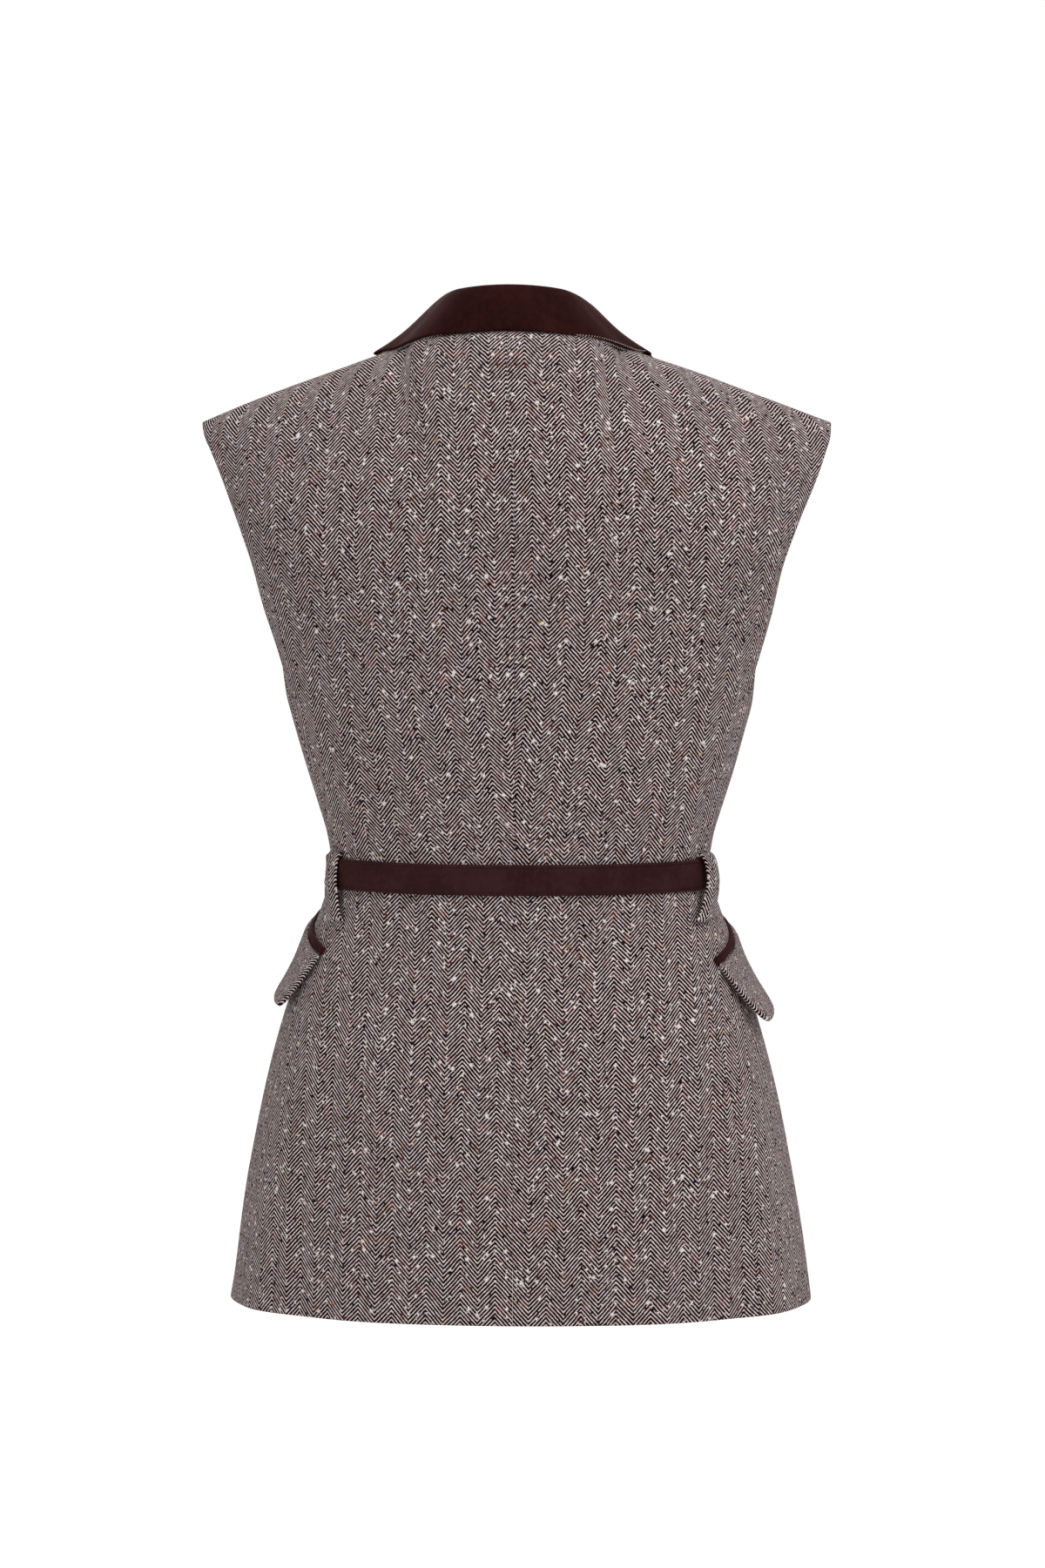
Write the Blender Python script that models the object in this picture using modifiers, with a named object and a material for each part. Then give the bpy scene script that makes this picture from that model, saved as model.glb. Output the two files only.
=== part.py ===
"""A belted, sleeveless tweed waistcoat with a leather collar, filled out as it is worn.

Metres, +Z up. The garment's front faces -Y, so its left side is at +X. The origin lies between
the shoulders, at the height where the collar meets the shoulder line.
"""

import bisect
import functools
import math

import bpy
import numpy as np

# Cloth and leather
CLOTH = 0.0018  # tweed wall
LEATHER = 0.0017  # collar wall
BELT_THICK = 0.0030
FLAP_THICK = 0.0042  # tweed folded and turned at its edges
SEAM = 0.0004  # between the pieces of one seam
RIDGE = 0.0005  # half the shoulder seam's gap, where the walls lean together
LAY = 0.0005  # between a piece and what it lies on

# Body: heights along Z
HEM_Z = -0.651
WAIST_Z = -0.353
ARMHOLE_Z = -0.210  # where the side seams end at the armhole
ARMHOLE_DIP = 0.034  # how far the side panel's top edge hangs below that

# Body: horizontal rings from the hem up to the armhole.
# half_width, back and front are the half-axes; side_back and side_front are the seams' share
# of the half-width; back_power and front_power square the ring off (2 is an ellipse).
RING_COLUMNS = (
    "z", "half_width", "back", "front", "back_power", "front_power", "side_back", "side_front"
)
RINGS = (
    (-0.651, 0.2011, 0.126, 0.124, 2.10, 2.10, 0.82, 0.80),
    (-0.596, 0.1935, 0.124, 0.122, 2.10, 2.10, 0.82, 0.80),
    (-0.548, 0.1853, 0.121, 0.119, 2.12, 2.10, 0.82, 0.80),
    (-0.499, 0.1751, 0.116, 0.115, 2.14, 2.10, 0.825, 0.80),
    (-0.463, 0.1656, 0.110, 0.110, 2.15, 2.10, 0.825, 0.80),
    (-0.427, 0.1541, 0.101, 0.104, 2.15, 2.10, 0.83, 0.80),
    (-0.402, 0.1456, 0.093, 0.100, 2.15, 2.10, 0.845, 0.81),
    (-0.378, 0.1363, 0.086, 0.096, 2.15, 2.10, 0.895, 0.82),
    (-0.353, 0.1299, 0.082, 0.095, 2.15, 2.10, 0.962, 0.84),
    (-0.330, 0.1323, 0.083, 0.097, 2.15, 2.10, 0.966, 0.85),
    (-0.306, 0.1392, 0.087, 0.103, 2.18, 2.10, 0.965, 0.85),
    (-0.282, 0.1467, 0.091, 0.110, 2.20, 2.10, 0.965, 0.86),
    (-0.258, 0.1536, 0.095, 0.118, 2.25, 2.10, 0.970, 0.87),
    (-0.234, 0.1601, 0.097, 0.124, 2.30, 2.10, 0.975, 0.88),
    (-0.210, 0.1656, 0.098, 0.127, 2.35, 2.10, 0.980, 0.89),
)

# Shoulders and neck
NECK_HALF = 0.070  # where the shoulder seam meets the neck
NECK_Z = 0.0085
NECK_BACK_Y = 0.060  # centre of the back neck
NECK_BACK_Z = 0.019
TIP_HALF = 0.2161  # padded shoulder tip
TIP_Z = -0.045
SHOULDER_BOW = 0.0012
SHOULDER_ROUND = 2.2  # how the back and front roll over the shoulder
SHOULDER_SQUARE = (0.33, 0.40)  # at the neck and at the tip; the lower, the squarer
BLADE_CENTRE = 0.010  # how far the back stands out between the armhole and the shoulder
BLADE_EDGE = 0.020
CHEST_CENTRE = 0.004
CHEST_EDGE = 0.012

# The neck sits a little to the wearer's left of the hem
LEAN = 0.0055
LEAN_FROM = -0.090
LEAN_TO = 0.0

# Armhole edges: half-widths of the back and the front by height
ARMHOLE_COLUMNS = ("z", "back", "front")
ARMHOLES = (
    (-0.2100, 0.1623, 0.1482),
    (-0.1740, 0.1728, 0.1470),
    (-0.1375, 0.1818, 0.1510),
    (-0.1135, 0.1905, 0.1590),
    (-0.0895, 0.2002, 0.1740),
    (-0.0650, 0.2100, 0.1960),
    (-0.0530, 0.2148, 0.2080),
    (-0.0450, 0.2161, 0.2161),
)

# Front closing, right over left
OVERLAP = 0.020  # each front runs this far past the centre
OVERLAP_LIFT = CLOTH + LAY + 0.0003
OVERLAP_RAMP = (0.024, 0.070)  # the lift fades between these half-widths

# Long soft folds of the skirt and the back: share of the way from the centre back (0) to the
# centre front (1) round the ring, top, bottom, width as a share of the ring, height
FOLD_COLUMNS = ("place", "top", "bottom", "width", "height")
FOLDS = (
    (0.335, -0.385, HEM_Z, 0.050, 0.0050),
    (0.405, -0.400, HEM_Z, 0.040, -0.0040),
    (0.180, -0.430, HEM_Z, 0.070, -0.0030),
    (0.700, -0.400, HEM_Z, 0.060, 0.0040),
    (0.850, -0.420, HEM_Z, 0.060, -0.0030),
)

# Grid sizes of the panels
BACK_NECK_COLUMNS = 4
BACK_COLUMNS = 8
SIDE_COLUMNS = 8
FRONT_COLUMNS = 10
# Heights where the rows' spacing changes, and the rows up to the next
ROW_BANDS = ((HEM_Z, 8), (-0.405, 9), (-0.300, 4), (ARMHOLE_Z, 0))
YOKE_ROWS = 12

# Collar: the fall's edge on the back and down the front, the roll line above it
COLLAR_TOP_Z = 0.0492
COLLAR_TOP_Y = 0.058
COLLAR_SIDE_HALF = 0.0500
COLLAR_SIDE_Z = 0.0350
COLLAR_ARCH = 0.85  # the lower, the flatter the roll's top
COLLAR_ROLL = 0.0036
COLLAR_STAND_END = 0.005  # how far the roll stands off the front's edge at its end
FALL_CENTRE_Y = 0.0706
FALL_BEND = 1.75  # 1 is an ellipse seen from above
FALL_SIDE_HALF = 0.0885
FALL_FRONT = 0.044  # the fall's width at the chest
FALL_END = 0.012
FALL_SWELL = 0.0018  # how far the fall bows out at the centre back
FALL_HOLLOW = 0.0045  # and in at the shoulders
COLLAR_END = 0.30  # share of the way up the front edge where the collar starts
COLLAR_BACK_STATIONS = 8
COLLAR_FRONT_STATIONS = 11
COLLAR_EVENING = 3  # how many times neighbouring sections are evened out
UNDER_COLLAR = 0.0012
FALL_AIR = 0.0012
UNDER_SHOWS = (0.0002, 0.0014)  # how far it reaches past the fall, at the back and the sides

# Belt and loops
BELT_WIDTH = 0.0210
BELT_OFF = CLOTH / 2 + LAY + BELT_THICK / 2 + 0.0008
BELT_STATIONS = 84
BELT_LAP = 0.085  # the free end past the buckle
BELT_TIP = 0.014
LOOP_WIDTH = 0.0130
LOOP_HALF = 0.1262  # where the loops cross the waist
LOOP_THICK = 0.0020
# Loop's run: distance out from the cloth's middle, height
LOOP_RUN = (
    (0.0028, -0.3405),
    (0.0036, -0.3368),
    (0.0058, -0.3362),
    (0.0072, -0.3400),
    (0.0078, -0.3470),
    (0.0080, -0.3580),
    (0.0078, -0.3680),
    (0.0068, -0.3780),
    (0.0050, -0.3870),
    (0.0028, -0.3930),
)

# Pocket flaps: the welt's line starts at the back and rises to the front
FLAP_START = 0.0420  # behind the side, along the ring
FLAP_LENGTH = 0.100
FLAP_BACK_Z = -0.4070
FLAP_RISE = 0.0330
FLAP_DROP = 0.0480
FLAP_STAND = 0.0070  # how far the lower edge stands off
FLAP_COLUMNS = 10
FLAP_ROWS = 6
WELT_WIDTH = 0.0042
FLAP_GAP = 0.0014  # between the welt and the flap's top edge
WELT_THICK = 0.0026

# Buckle and buttons
BUCKLE_INNER_H = 0.0236
BUCKLE_INNER_W = 0.0200
BUCKLE_BAR = 0.0036
BUTTON_RADIUS = 0.0100
BUTTON_THICK = 0.0036
BUTTON_HEIGHTS = {"button_upper": -0.285, "button_lower": -0.425}

LEFT = 1
RIGHT = -1


# ---------------------------------------------------------------- tables and curves


def columns(names, rows):
    """A table's columns by height, each with its slopes."""
    table = np.array(sorted(rows))
    heights = table[:, 0]
    pairs = zip(names, table.T)
    return {name: (values.tolist(), np.gradient(values, heights).tolist()) for name, values in pairs}


def smooth(table, name, z):
    """A smooth curve through a table's column, read at height z."""
    heights = table["z"][0]
    values, slopes = table[name]
    z = min(max(z, heights[0]), heights[-1])
    k = min(max(bisect.bisect_left(heights, z) - 1, 0), len(heights) - 2)
    step = heights[k + 1] - heights[k]
    t = (z - heights[k]) / step
    return (
        (2 * t**3 - 3 * t**2 + 1) * values[k]
        + (t**3 - 2 * t**2 + t) * step * slopes[k]
        + (3 * t**2 - 2 * t**3) * values[k + 1]
        + (t**3 - t**2) * step * slopes[k + 1]
    )


RING = columns(RING_COLUMNS, RINGS)
ARMHOLE = columns(ARMHOLE_COLUMNS, ARMHOLES)


@functools.cache
def ring_size(name, z):
    return smooth(RING, name, z)


def ease(t):
    t = min(max(t, 0.0), 1.0)
    return t * t * (3 - 2 * t)


def unit(vector):
    return vector / np.linalg.norm(vector)


# ---------------------------------------------------------------- the body below the armholes


def fold_height(share, z):
    """How far the long folds push the cloth out at this place."""
    total = 0.0
    for row in FOLDS:
        fold = dict(zip(FOLD_COLUMNS, row))
        reach = ease((fold["top"] - z) / (fold["top"] - fold["bottom"]))
        across = (share - fold["place"]) / fold["width"]
        total += fold["height"] * reach * math.exp(-across * across)
    return total


def ring_point(turn, z):
    """The left half's ring: turn runs from 0 at the centre back to 1 at the centre front.

    Past 1 it runs on over the centre, onto the other half.
    """
    over = turn > 1
    if over:
        turn = 2 - turn
    angle = turn * math.pi
    back = angle <= math.pi / 2
    power = ring_size("back_power" if back else "front_power", z)
    depth = ring_size("back", z) if back else -ring_size("front", z)
    push = fold_height(turn, z)
    x = (ring_size("half_width", z) + push) * math.sin(angle) ** (2 / power)
    y = (depth + math.copysign(push, depth)) * abs(math.cos(angle)) ** (2 / power)
    return np.array((-x if over else x, y, z))


def seam_turn(name, z):
    """The turn at which a side seam crosses the ring."""
    share = ring_size(name, z)
    if name == "side_back":
        return math.asin(share ** (ring_size("back_power", z) / 2)) / math.pi
    return 1 - math.asin(share ** (ring_size("front_power", z) / 2)) / math.pi


@functools.cache
def ring_at(z):
    return Ring(float(z))


class Ring:
    """One height of the body, measured along the cloth."""

    def __init__(self, z):
        self.z = z
        self.turns = np.linspace(0, 1.25, 126)
        points = np.array([ring_point(turn, z) for turn in self.turns])
        steps = np.linalg.norm(np.diff(points, axis=0), axis=1)
        self.lengths = np.concatenate(([0.0], np.cumsum(steps)))

    def length(self, turn):
        return float(np.interp(turn, self.turns, self.lengths))

    def turn(self, length):
        return float(np.interp(length, self.lengths, self.turns))

    def at(self, length):
        return ring_point(self.turn(length), self.z)


def ring_normal(turn, z):
    """The outward direction of the cloth on the ring."""
    along = ring_point(turn + 0.004, z) - ring_point(turn - 0.004, z)
    up = ring_point(turn, z + 0.002) - ring_point(turn, z - 0.002)
    return unit(np.cross(up, along))


def off_ring(length, z, out):
    """A point this far out from the cloth's middle, at a length round the ring."""
    turn = ring_at(z).turn(length)
    return ring_point(turn, z) + ring_normal(turn, z) * out


# ---------------------------------------------------------------- the yoke above the armholes


def rise(share, t):
    """How much of the ring's depth is left, from 1 at the armhole to 0 at the shoulder seam."""
    neck, tip = SHOULDER_SQUARE
    return max(1 - t**SHOULDER_ROUND, 0.0) ** (neck + (tip - neck) * share)


def shoulder_z(half):
    """The shoulder seam's height, from the neck to the tip."""
    share = (half - NECK_HALF) / (TIP_HALF - NECK_HALF)
    return NECK_Z + (TIP_Z - NECK_Z) * share + SHOULDER_BOW * math.sin(math.pi * share)


def back_top(half):
    """The back's top edge: the neck's curve, then the shoulder seam."""
    if half >= NECK_HALF:
        return 0.0, shoulder_z(half)
    lift = math.sqrt(1 - (half / NECK_HALF) ** 2)
    return NECK_BACK_Y * lift, NECK_Z + (NECK_BACK_Z - NECK_Z) * lift


BACK_RING = Ring(ARMHOLE_Z)
BACK_EDGE = BACK_RING.length(seam_turn("side_back", ARMHOLE_Z)) - SEAM / 2
FRONT_EDGE = BACK_RING.length(seam_turn("side_front", ARMHOLE_Z)) + SEAM / 2
FRONT_END = BACK_RING.length(1.0)


@functools.cache
def back_length(share):
    """The length round the armhole ring at this share of the back's half-width there."""
    count = len(BACK_RING.turns) * 2 // 5
    halves = [BACK_RING.at(length)[0] for length in BACK_RING.lengths[:count]]
    edge = BACK_RING.at(BACK_EDGE)[0]
    return float(np.interp(share * edge, halves, BACK_RING.lengths[:count]))


def yoke_back(share, t):
    """A point of the upper back: share of its half-width, share of the way up."""
    base_y = BACK_RING.at(back_length(share))[1]
    top_y, top_z = back_top(share * TIP_HALF)
    edge_z = ARMHOLE_Z + (TIP_Z - ARMHOLE_Z) * t
    half = smooth(ARMHOLE, "back", edge_z)
    swell = (BLADE_CENTRE + (BLADE_EDGE - BLADE_CENTRE) * share**2) * math.sin(math.pi * t) ** 2
    y = top_y + (base_y - top_y) * rise(share, t) + swell
    return np.array((share * half, y, ARMHOLE_Z + (top_z - ARMHOLE_Z) * t))


def front_inner(t):
    """The front's inner edge: the neck's V, from the overlap up to the neck point."""
    return -OVERLAP + (NECK_HALF + OVERLAP) * t


def yoke_front(share, t):
    """A point of the upper front: share 0 at its inner edge, 1 at the armhole."""
    length = FRONT_END + OVERLAP + (FRONT_EDGE - FRONT_END - OVERLAP) * share
    base = BACK_RING.at(length)
    edge_z = ARMHOLE_Z + (TIP_Z - ARMHOLE_Z) * t
    outer = smooth(ARMHOLE, "front", edge_z)
    outer_base = BACK_RING.at(FRONT_EDGE)[0]
    inner_base = BACK_RING.at(FRONT_END + OVERLAP)[0]
    place = (base[0] - inner_base) / (outer_base - inner_base)
    inner = front_inner(t)
    half = inner + (outer - inner) * place
    top_z = shoulder_z(NECK_HALF + (TIP_HALF - NECK_HALF) * place)
    swell = (CHEST_CENTRE + (CHEST_EDGE - CHEST_CENTRE) * place**2) * math.sin(math.pi * t) ** 2
    return np.array((half, base[1] * rise(place, t) - swell, ARMHOLE_Z + (top_z - ARMHOLE_Z) * t))


def surface_normal(surface, share, t, out_y):
    """The outward direction of a yoke surface; out_y is +1 on the back and -1 on the front."""
    low_s, high_s = max(share - 0.01, 0.0), min(share + 0.01, 1.0)
    low_t, high_t = max(t - 0.01, 0.0), min(t + 0.002, 0.9995)
    across = surface(high_s, t) - surface(low_s, t)
    up = surface(share, high_t) - surface(share, low_t)
    normal = unit(np.cross(across, up))
    return normal if normal[1] * out_y > 0 else -normal


def find_on(surface, half, z):
    """The share and the way up at which a yoke surface has this half-width and height."""
    t = 0.9
    for _ in range(12):
        low, high = 0.0, 1.0
        for _ in range(24):
            share = (low + high) / 2
            if surface(share, t)[0] < half:
                low = share
            else:
                high = share
        t *= (z - ARMHOLE_Z) / (surface(share, t)[2] - ARMHOLE_Z)
        t = min(t, 0.9995)
    return share, t


def find_depth(surface, half, y):
    """The share and the way up at which the upper back has this half-width and depth."""
    low, high = 0.5, 1.0
    for _ in range(24):
        t = (low + high) / 2
        share = half / surface(1.0, t)[0]
        if surface(share, t)[1] > y:
            low = t
        else:
            high = t
    return share, t


# ---------------------------------------------------------------- meshes


def sheet(name, rows, thickness, material, side=LEFT, outward=None):
    """A wall through a grid of points, half its thickness to each side of them."""
    grid = np.array(rows)
    count_r, count_c = grid.shape[:2]
    verts = (grid * np.array((side, 1, 1))).reshape(-1, 3)
    verts[:, 0] += [LEAN * ease((z - LEAN_FROM) / (LEAN_TO - LEAN_FROM)) for z in verts[:, 2]]
    faces = []
    for r in range(count_r - 1):
        for c in range(count_c - 1):
            a = r * count_c + c
            faces.append((a, a + 1, a + count_c + 1, a + count_c))
    mesh = bpy.data.meshes.new(name)
    mesh.from_pydata(verts.tolist(), [], faces)
    middle = mesh.polygons[len(faces) // 2]
    aim = np.array(outward if outward is not None else middle.center)
    if outward is not None:
        aim = aim * np.array((side, 1, 1))
    else:
        aim[2] = 0
    if np.dot(np.array(middle.normal), aim) < 0:
        mesh.flip_normals()
    mesh.shade_smooth()
    mesh.materials.append(material)
    piece = bpy.data.objects.new(name, mesh)
    PARTS.objects.link(piece)
    wall = piece.modifiers.new("wall", "SOLIDIFY")
    wall.thickness = thickness
    wall.offset = 0
    wall.use_even_offset = True
    wall.use_quality_normals = True
    return piece


def finish(name, color, roughness, metallic=0.0):
    """A plain material."""
    material = bpy.data.materials.new(name)
    material.use_nodes = True
    shader = material.node_tree.nodes["Principled BSDF"]
    shader.inputs["Base Color"].default_value = (*color, 1)
    shader.inputs["Roughness"].default_value = roughness
    shader.inputs["Metallic"].default_value = metallic
    return material


# ---------------------------------------------------------------- panels


def skirt_heights():
    """Heights of the rows from the hem to the armhole, close together at the waist."""
    heights = []
    for (low, count), (high, _) in zip(ROW_BANDS, ROW_BANDS[1:]):
        heights += [low + (high - low) * i / count for i in range(count)]
    return heights + [ARMHOLE_Z]


def back_shares():
    """Columns of the back: the neck's by their angle, the rest along the ring."""
    neck = NECK_HALF / TIP_HALF
    bend = [neck * math.sin(math.pi / 2 * i / BACK_NECK_COLUMNS) for i in range(BACK_NECK_COLUMNS)]
    start = math.asin(neck)
    rest = np.linspace(start, math.pi / 2, BACK_COLUMNS + 1)
    return bend + [math.sin(angle) for angle in rest]


def back_panel(side, name):
    rows = []
    parts = [back_length(share) / BACK_EDGE for share in back_shares()]
    for z in skirt_heights():
        ring = ring_at(z)
        end = ring.length(seam_turn("side_back", z)) - SEAM / 2
        rows.append([ring.at(SEAM / 2 + (end - SEAM / 2) * part) for part in parts])
    for t in np.linspace(0, 1, YOKE_ROWS + 1)[1:]:
        t = 1 - (1 - t) ** 2
        row = [yoke_back(share, t) for share in back_shares()]
        row[0][0] = SEAM / 2
        row = [point + np.array((0, RIDGE * ease((t - 0.98) / 0.02), 0)) for point in row]
        rows.append(row)
    return sheet(name, rows, CLOTH, TWEED, side)


def side_panel(side, name):
    rows = []
    shares = np.linspace(0, 1, SIDE_COLUMNS + 1)
    for z in skirt_heights():
        row = []
        for share in shares:
            way = (z - HEM_Z) / (ARMHOLE_Z - HEM_Z)
            dip = ARMHOLE_DIP * math.sin(math.pi * share) ** 0.7
            low = z - dip * way**2
            ring = ring_at(low)
            start = ring.length(seam_turn("side_back", low)) + SEAM / 2
            end = ring.length(seam_turn("side_front", low)) - SEAM / 2
            row.append(ring.at(start + (end - start) * share))
        rows.append(row)
    return sheet(name, rows, CLOTH, TWEED, side)


def overlap_lift(half, side):
    """The right front lies on the left one, and eases back to the ring away from the centre."""
    if side == LEFT:
        return 0.0
    near, far = OVERLAP_RAMP
    return OVERLAP_LIFT * (1 - ease((half - near) / (far - near)))


def front_panel(side, name):
    rows = []
    shares = np.linspace(0, 1, FRONT_COLUMNS + 1)
    for z in skirt_heights():
        ring = ring_at(z)
        start = ring.length(1.0) + OVERLAP
        end = ring.length(seam_turn("side_front", z)) + SEAM / 2
        row = []
        for share in shares:
            turn = ring.turn(start + (end - start) * share)
            point = ring_point(turn, z)
            row.append(point + ring_normal(turn, z) * overlap_lift(point[0], side))
        rows.append(row)
    for t in np.linspace(0, 1, YOKE_ROWS + 1)[1:]:
        t = 1 - (1 - t) ** 2
        row = []
        for share in shares:
            point = yoke_front(share, t)
            lift = overlap_lift(point[0], side)
            row.append(point - np.array((0, lift + RIDGE * ease((t - 0.98) / 0.02), 0)))
        rows.append(row)
    return sheet(name, rows, CLOTH, TWEED, side)


# ---------------------------------------------------------------- collar


def cloth_out(surface, share, t, out_y):
    """The way out of the cloth, turning up to the shoulder's own slope along its seam."""
    half = surface(share, t)[0]
    ridge = np.array((0.36 * min(half / NECK_HALF, 1.0), 0.25 * out_y, 0.93))
    side = surface_normal(surface, share, min(t, 0.97), out_y)
    near = ease((t - 0.93) / 0.07)
    return unit(side * (1 - near) + ridge * near)


def lap_lift(half):
    """How far out the lapped fronts push what lies on them."""
    near, far = OVERLAP_RAMP
    return OVERLAP_LIFT * (1 - ease((half - near) / (far - near)))


def back_station(share):
    """Neck point, roll, fall edge, way out and bow, from the centre back to the shoulder."""
    angle = share * math.pi / 2
    across, along = math.sin(angle), math.cos(angle)
    neck_y, neck_z = back_top(NECK_HALF * across)
    neck = np.array((NECK_HALF * across, neck_y, neck_z))
    roll_z = COLLAR_SIDE_Z + (COLLAR_TOP_Z - COLLAR_SIDE_Z) * along**COLLAR_ARCH
    roll = np.array((COLLAR_SIDE_HALF * across, COLLAR_TOP_Y * along, roll_z))
    half = FALL_SIDE_HALF * across
    if share == 1:
        out = unit(np.array((0.36, 0.0, 0.93)))
        return neck, roll, np.array((half, 0.0, shoulder_z(half))), out, -FALL_HOLLOW
    place, t = find_depth(yoke_back, half, FALL_CENTRE_Y * along**FALL_BEND)
    out = cloth_out(yoke_back, place, t, 1)
    swell = FALL_SWELL * along - FALL_HOLLOW * across**2
    return neck, roll, yoke_back(place, t), out, swell


def front_station(share):
    """The same from the shoulder seam down the front's edge to the collar's end."""
    t = 1 - (1 - COLLAR_END) * share**2.2
    out = cloth_out(yoke_front, 0.02, t, -1)
    edge = yoke_front(0.0, t)
    neck = edge + out * lap_lift(edge[0])
    width = FALL_SIDE_HALF - NECK_HALF
    width += (FALL_FRONT - width) * ease(share / 0.55) - (FALL_FRONT - FALL_END) * share**3
    half = edge[0] + 0.93 * width
    place, fall_t = find_on(yoke_front, half, edge[2] - 0.36 * width)
    fall = yoke_front(place, fall_t)
    fall_out = cloth_out(yoke_front, place, fall_t, -1)
    flat = ease(share / 0.6)
    stand = np.array((COLLAR_SIDE_HALF - NECK_HALF, 0.0, COLLAR_SIDE_Z - NECK_Z))
    aim = unit(unit(stand) * (1 - flat) + (out - unit(fall - edge) * 0.3) * flat)
    roll = neck + aim * (np.linalg.norm(stand) * (1 - flat) + COLLAR_STAND_END * flat)
    swell = FALL_SWELL / 2 * flat - FALL_HOLLOW * (1 - flat)
    return neck, roll, fall + fall_out * lap_lift(fall[0]), fall_out, swell


def collar_stations():
    """All stations of the left half, from the centre back to the front end."""
    back = [back_station(i / COLLAR_BACK_STATIONS) for i in range(COLLAR_BACK_STATIONS + 1)]
    front = [front_station(i / COLLAR_FRONT_STATIONS) for i in range(1, COLLAR_FRONT_STATIONS + 1)]
    stations = back + front
    for _ in range(COLLAR_EVENING):
        before = [[part * np.array((-1, 1, 1)) for part in stations[1][:4]]] + stations[:-2]
        evened = []
        for last, station, following in zip(before, stations, stations[1:]):
            neck, roll, fall, out, swell = station
            roll = (last[1] + roll * 2 + following[1]) / 4
            out = unit(last[3] + out * 2 + following[3])
            evened.append((neck, roll, fall, out, swell))
        stations = evened + stations[-1:]
    return stations


def collar_section(station, thickness):
    """One section of the collar, from the neck up over the roll and down to the fall's edge."""
    neck, roll, fall, out, swell = station
    edge = fall + out * (CLOTH / 2 + LAY + UNDER_COLLAR + LAY + thickness / 2 + FALL_AIR)
    up = unit(roll - neck)
    across = edge - neck
    across = unit(across - up * np.dot(across, up))
    drop = min(0.004, np.linalg.norm(roll - neck) * 0.5)
    lifted = neck + up * (thickness / 2 + LAY)
    inside = roll - across * COLLAR_ROLL - up * drop
    outside = roll + across * COLLAR_ROLL - up * drop
    middle = (outside + edge) / 2 + unit(across + up) * swell
    return [lifted, (lifted + inside) / 2, inside, roll, outside, middle, edge]


def under_section(station):
    """The under-collar, between the fall and the cloth, from the roll to past the fall's edge."""
    out = station[3]
    top = collar_section(station, LEATHER)
    along = unit(top[6] - top[4])
    inward = unit(along * np.dot(out, along) - out) * (LEATHER / 2 + LAY + UNDER_COLLAR / 2)
    start = top[4] + (top[5] - top[4]) * 0.7
    near, far = UNDER_SHOWS
    shows = near + (far - near) * ease((abs(station[0][0]) - 0.025) / 0.030)
    past = unit(along - out * np.dot(out, along)) * shows
    return [start + inward, top[5] + inward, top[6] + inward, top[6] + inward + past]


def both_sides(sections):
    """The sections of one half and, before them, those of the other, mirrored."""
    mirrored = [[point * np.array((-1, 1, 1)) for point in section] for section in sections[:0:-1]]
    return mirrored + sections


def collar():
    rows = both_sides([collar_section(station, LEATHER) for station in collar_stations()])
    return sheet("collar", rows, LEATHER, HIDE)


def under_collar():
    stations = collar_stations()[:-2]
    rows = both_sides([under_section(station) for station in stations])
    return sheet("under_collar", rows, UNDER_COLLAR, TWEED)


# ---------------------------------------------------------------- belt, loops, flaps


def belt():
    """A strap from the buckle round the waist and back over its own end."""
    rows = []
    length = ring_at(WAIST_Z).length(1.0)
    lap = BELT_LAP / length
    start, end = -0.985, 1.0 + lap
    for i in range(BELT_STATIONS + 1):
        turn = start + (end - start) * i / BELT_STATIONS
        past = ease((turn - 0.93) / 0.035)
        place = abs(turn) if turn <= 1 else 2 - turn
        lift = lap_lift(abs(ring_point(place, WAIST_Z)[0])) if place > 0.5 else 0.0
        out = BELT_OFF + lift + (BELT_THICK + LAY + 0.0004) * past
        left = (end - turn) * length
        half = BELT_WIDTH / 2
        if left < BELT_TIP:
            half *= 0.35 + 0.65 * math.sqrt(max(1 - (1 - left / BELT_TIP) ** 2, 0))
        side = LEFT if 0 <= turn <= 1 else RIGHT
        row = []
        for step in (-1, 0, 1):
            z = WAIST_Z + step * half
            point = ring_point(place, z) + ring_normal(min(max(place, 0.01), 0.985), z) * out
            row.append(np.array((point[0] * side, point[1], z)))
        rows.append(row)
    return sheet("belt", rows, BELT_THICK, HIDE)


def belt_loop(side, name):
    rows = []
    for out, z in LOOP_RUN:
        share = LOOP_HALF / ring_size("half_width", z)
        turn = math.asin(share ** (ring_size("back_power", z) / 2)) / math.pi
        centre = ring_at(z).length(turn)
        row = []
        for step in (-1, 0, 1):
            row.append(off_ring(centre + step * LOOP_WIDTH / 2, z, out))
        rows.append(row)
    return sheet(name, rows, LOOP_THICK, TWEED, side, outward=(1, 0.4, 0))


def flap_place(along, down):
    """The ring length past the side and the height, on the flap's own sloping lines."""
    slope = math.atan2(FLAP_RISE, FLAP_LENGTH)
    length = -FLAP_START + along * math.cos(slope) + down * math.sin(slope)
    return length, FLAP_BACK_Z + along * math.sin(slope) - down * math.cos(slope)


def flap_point(along, down, out):
    length, z = flap_place(along, down)
    return off_ring(ring_at(z).length(0.5) + length, z, out)


def pocket_flap(side, name):
    rows = []
    base = CLOTH / 2 + LAY + FLAP_THICK / 2
    for i in range(FLAP_ROWS + 1):
        share = i / FLAP_ROWS
        down = WELT_WIDTH + FLAP_GAP + (FLAP_DROP - WELT_WIDTH) * share
        row = []
        for j in range(FLAP_COLUMNS + 1):
            along = FLAP_LENGTH * j / FLAP_COLUMNS
            stand = FLAP_STAND * share**0.9 * (1 - 0.35 * j / FLAP_COLUMNS)
            row.append(flap_point(along, down, base + stand))
        rows.append(row)
    return sheet(name, rows, FLAP_THICK, TWEED, side, outward=(1, 0, 0))


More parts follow.
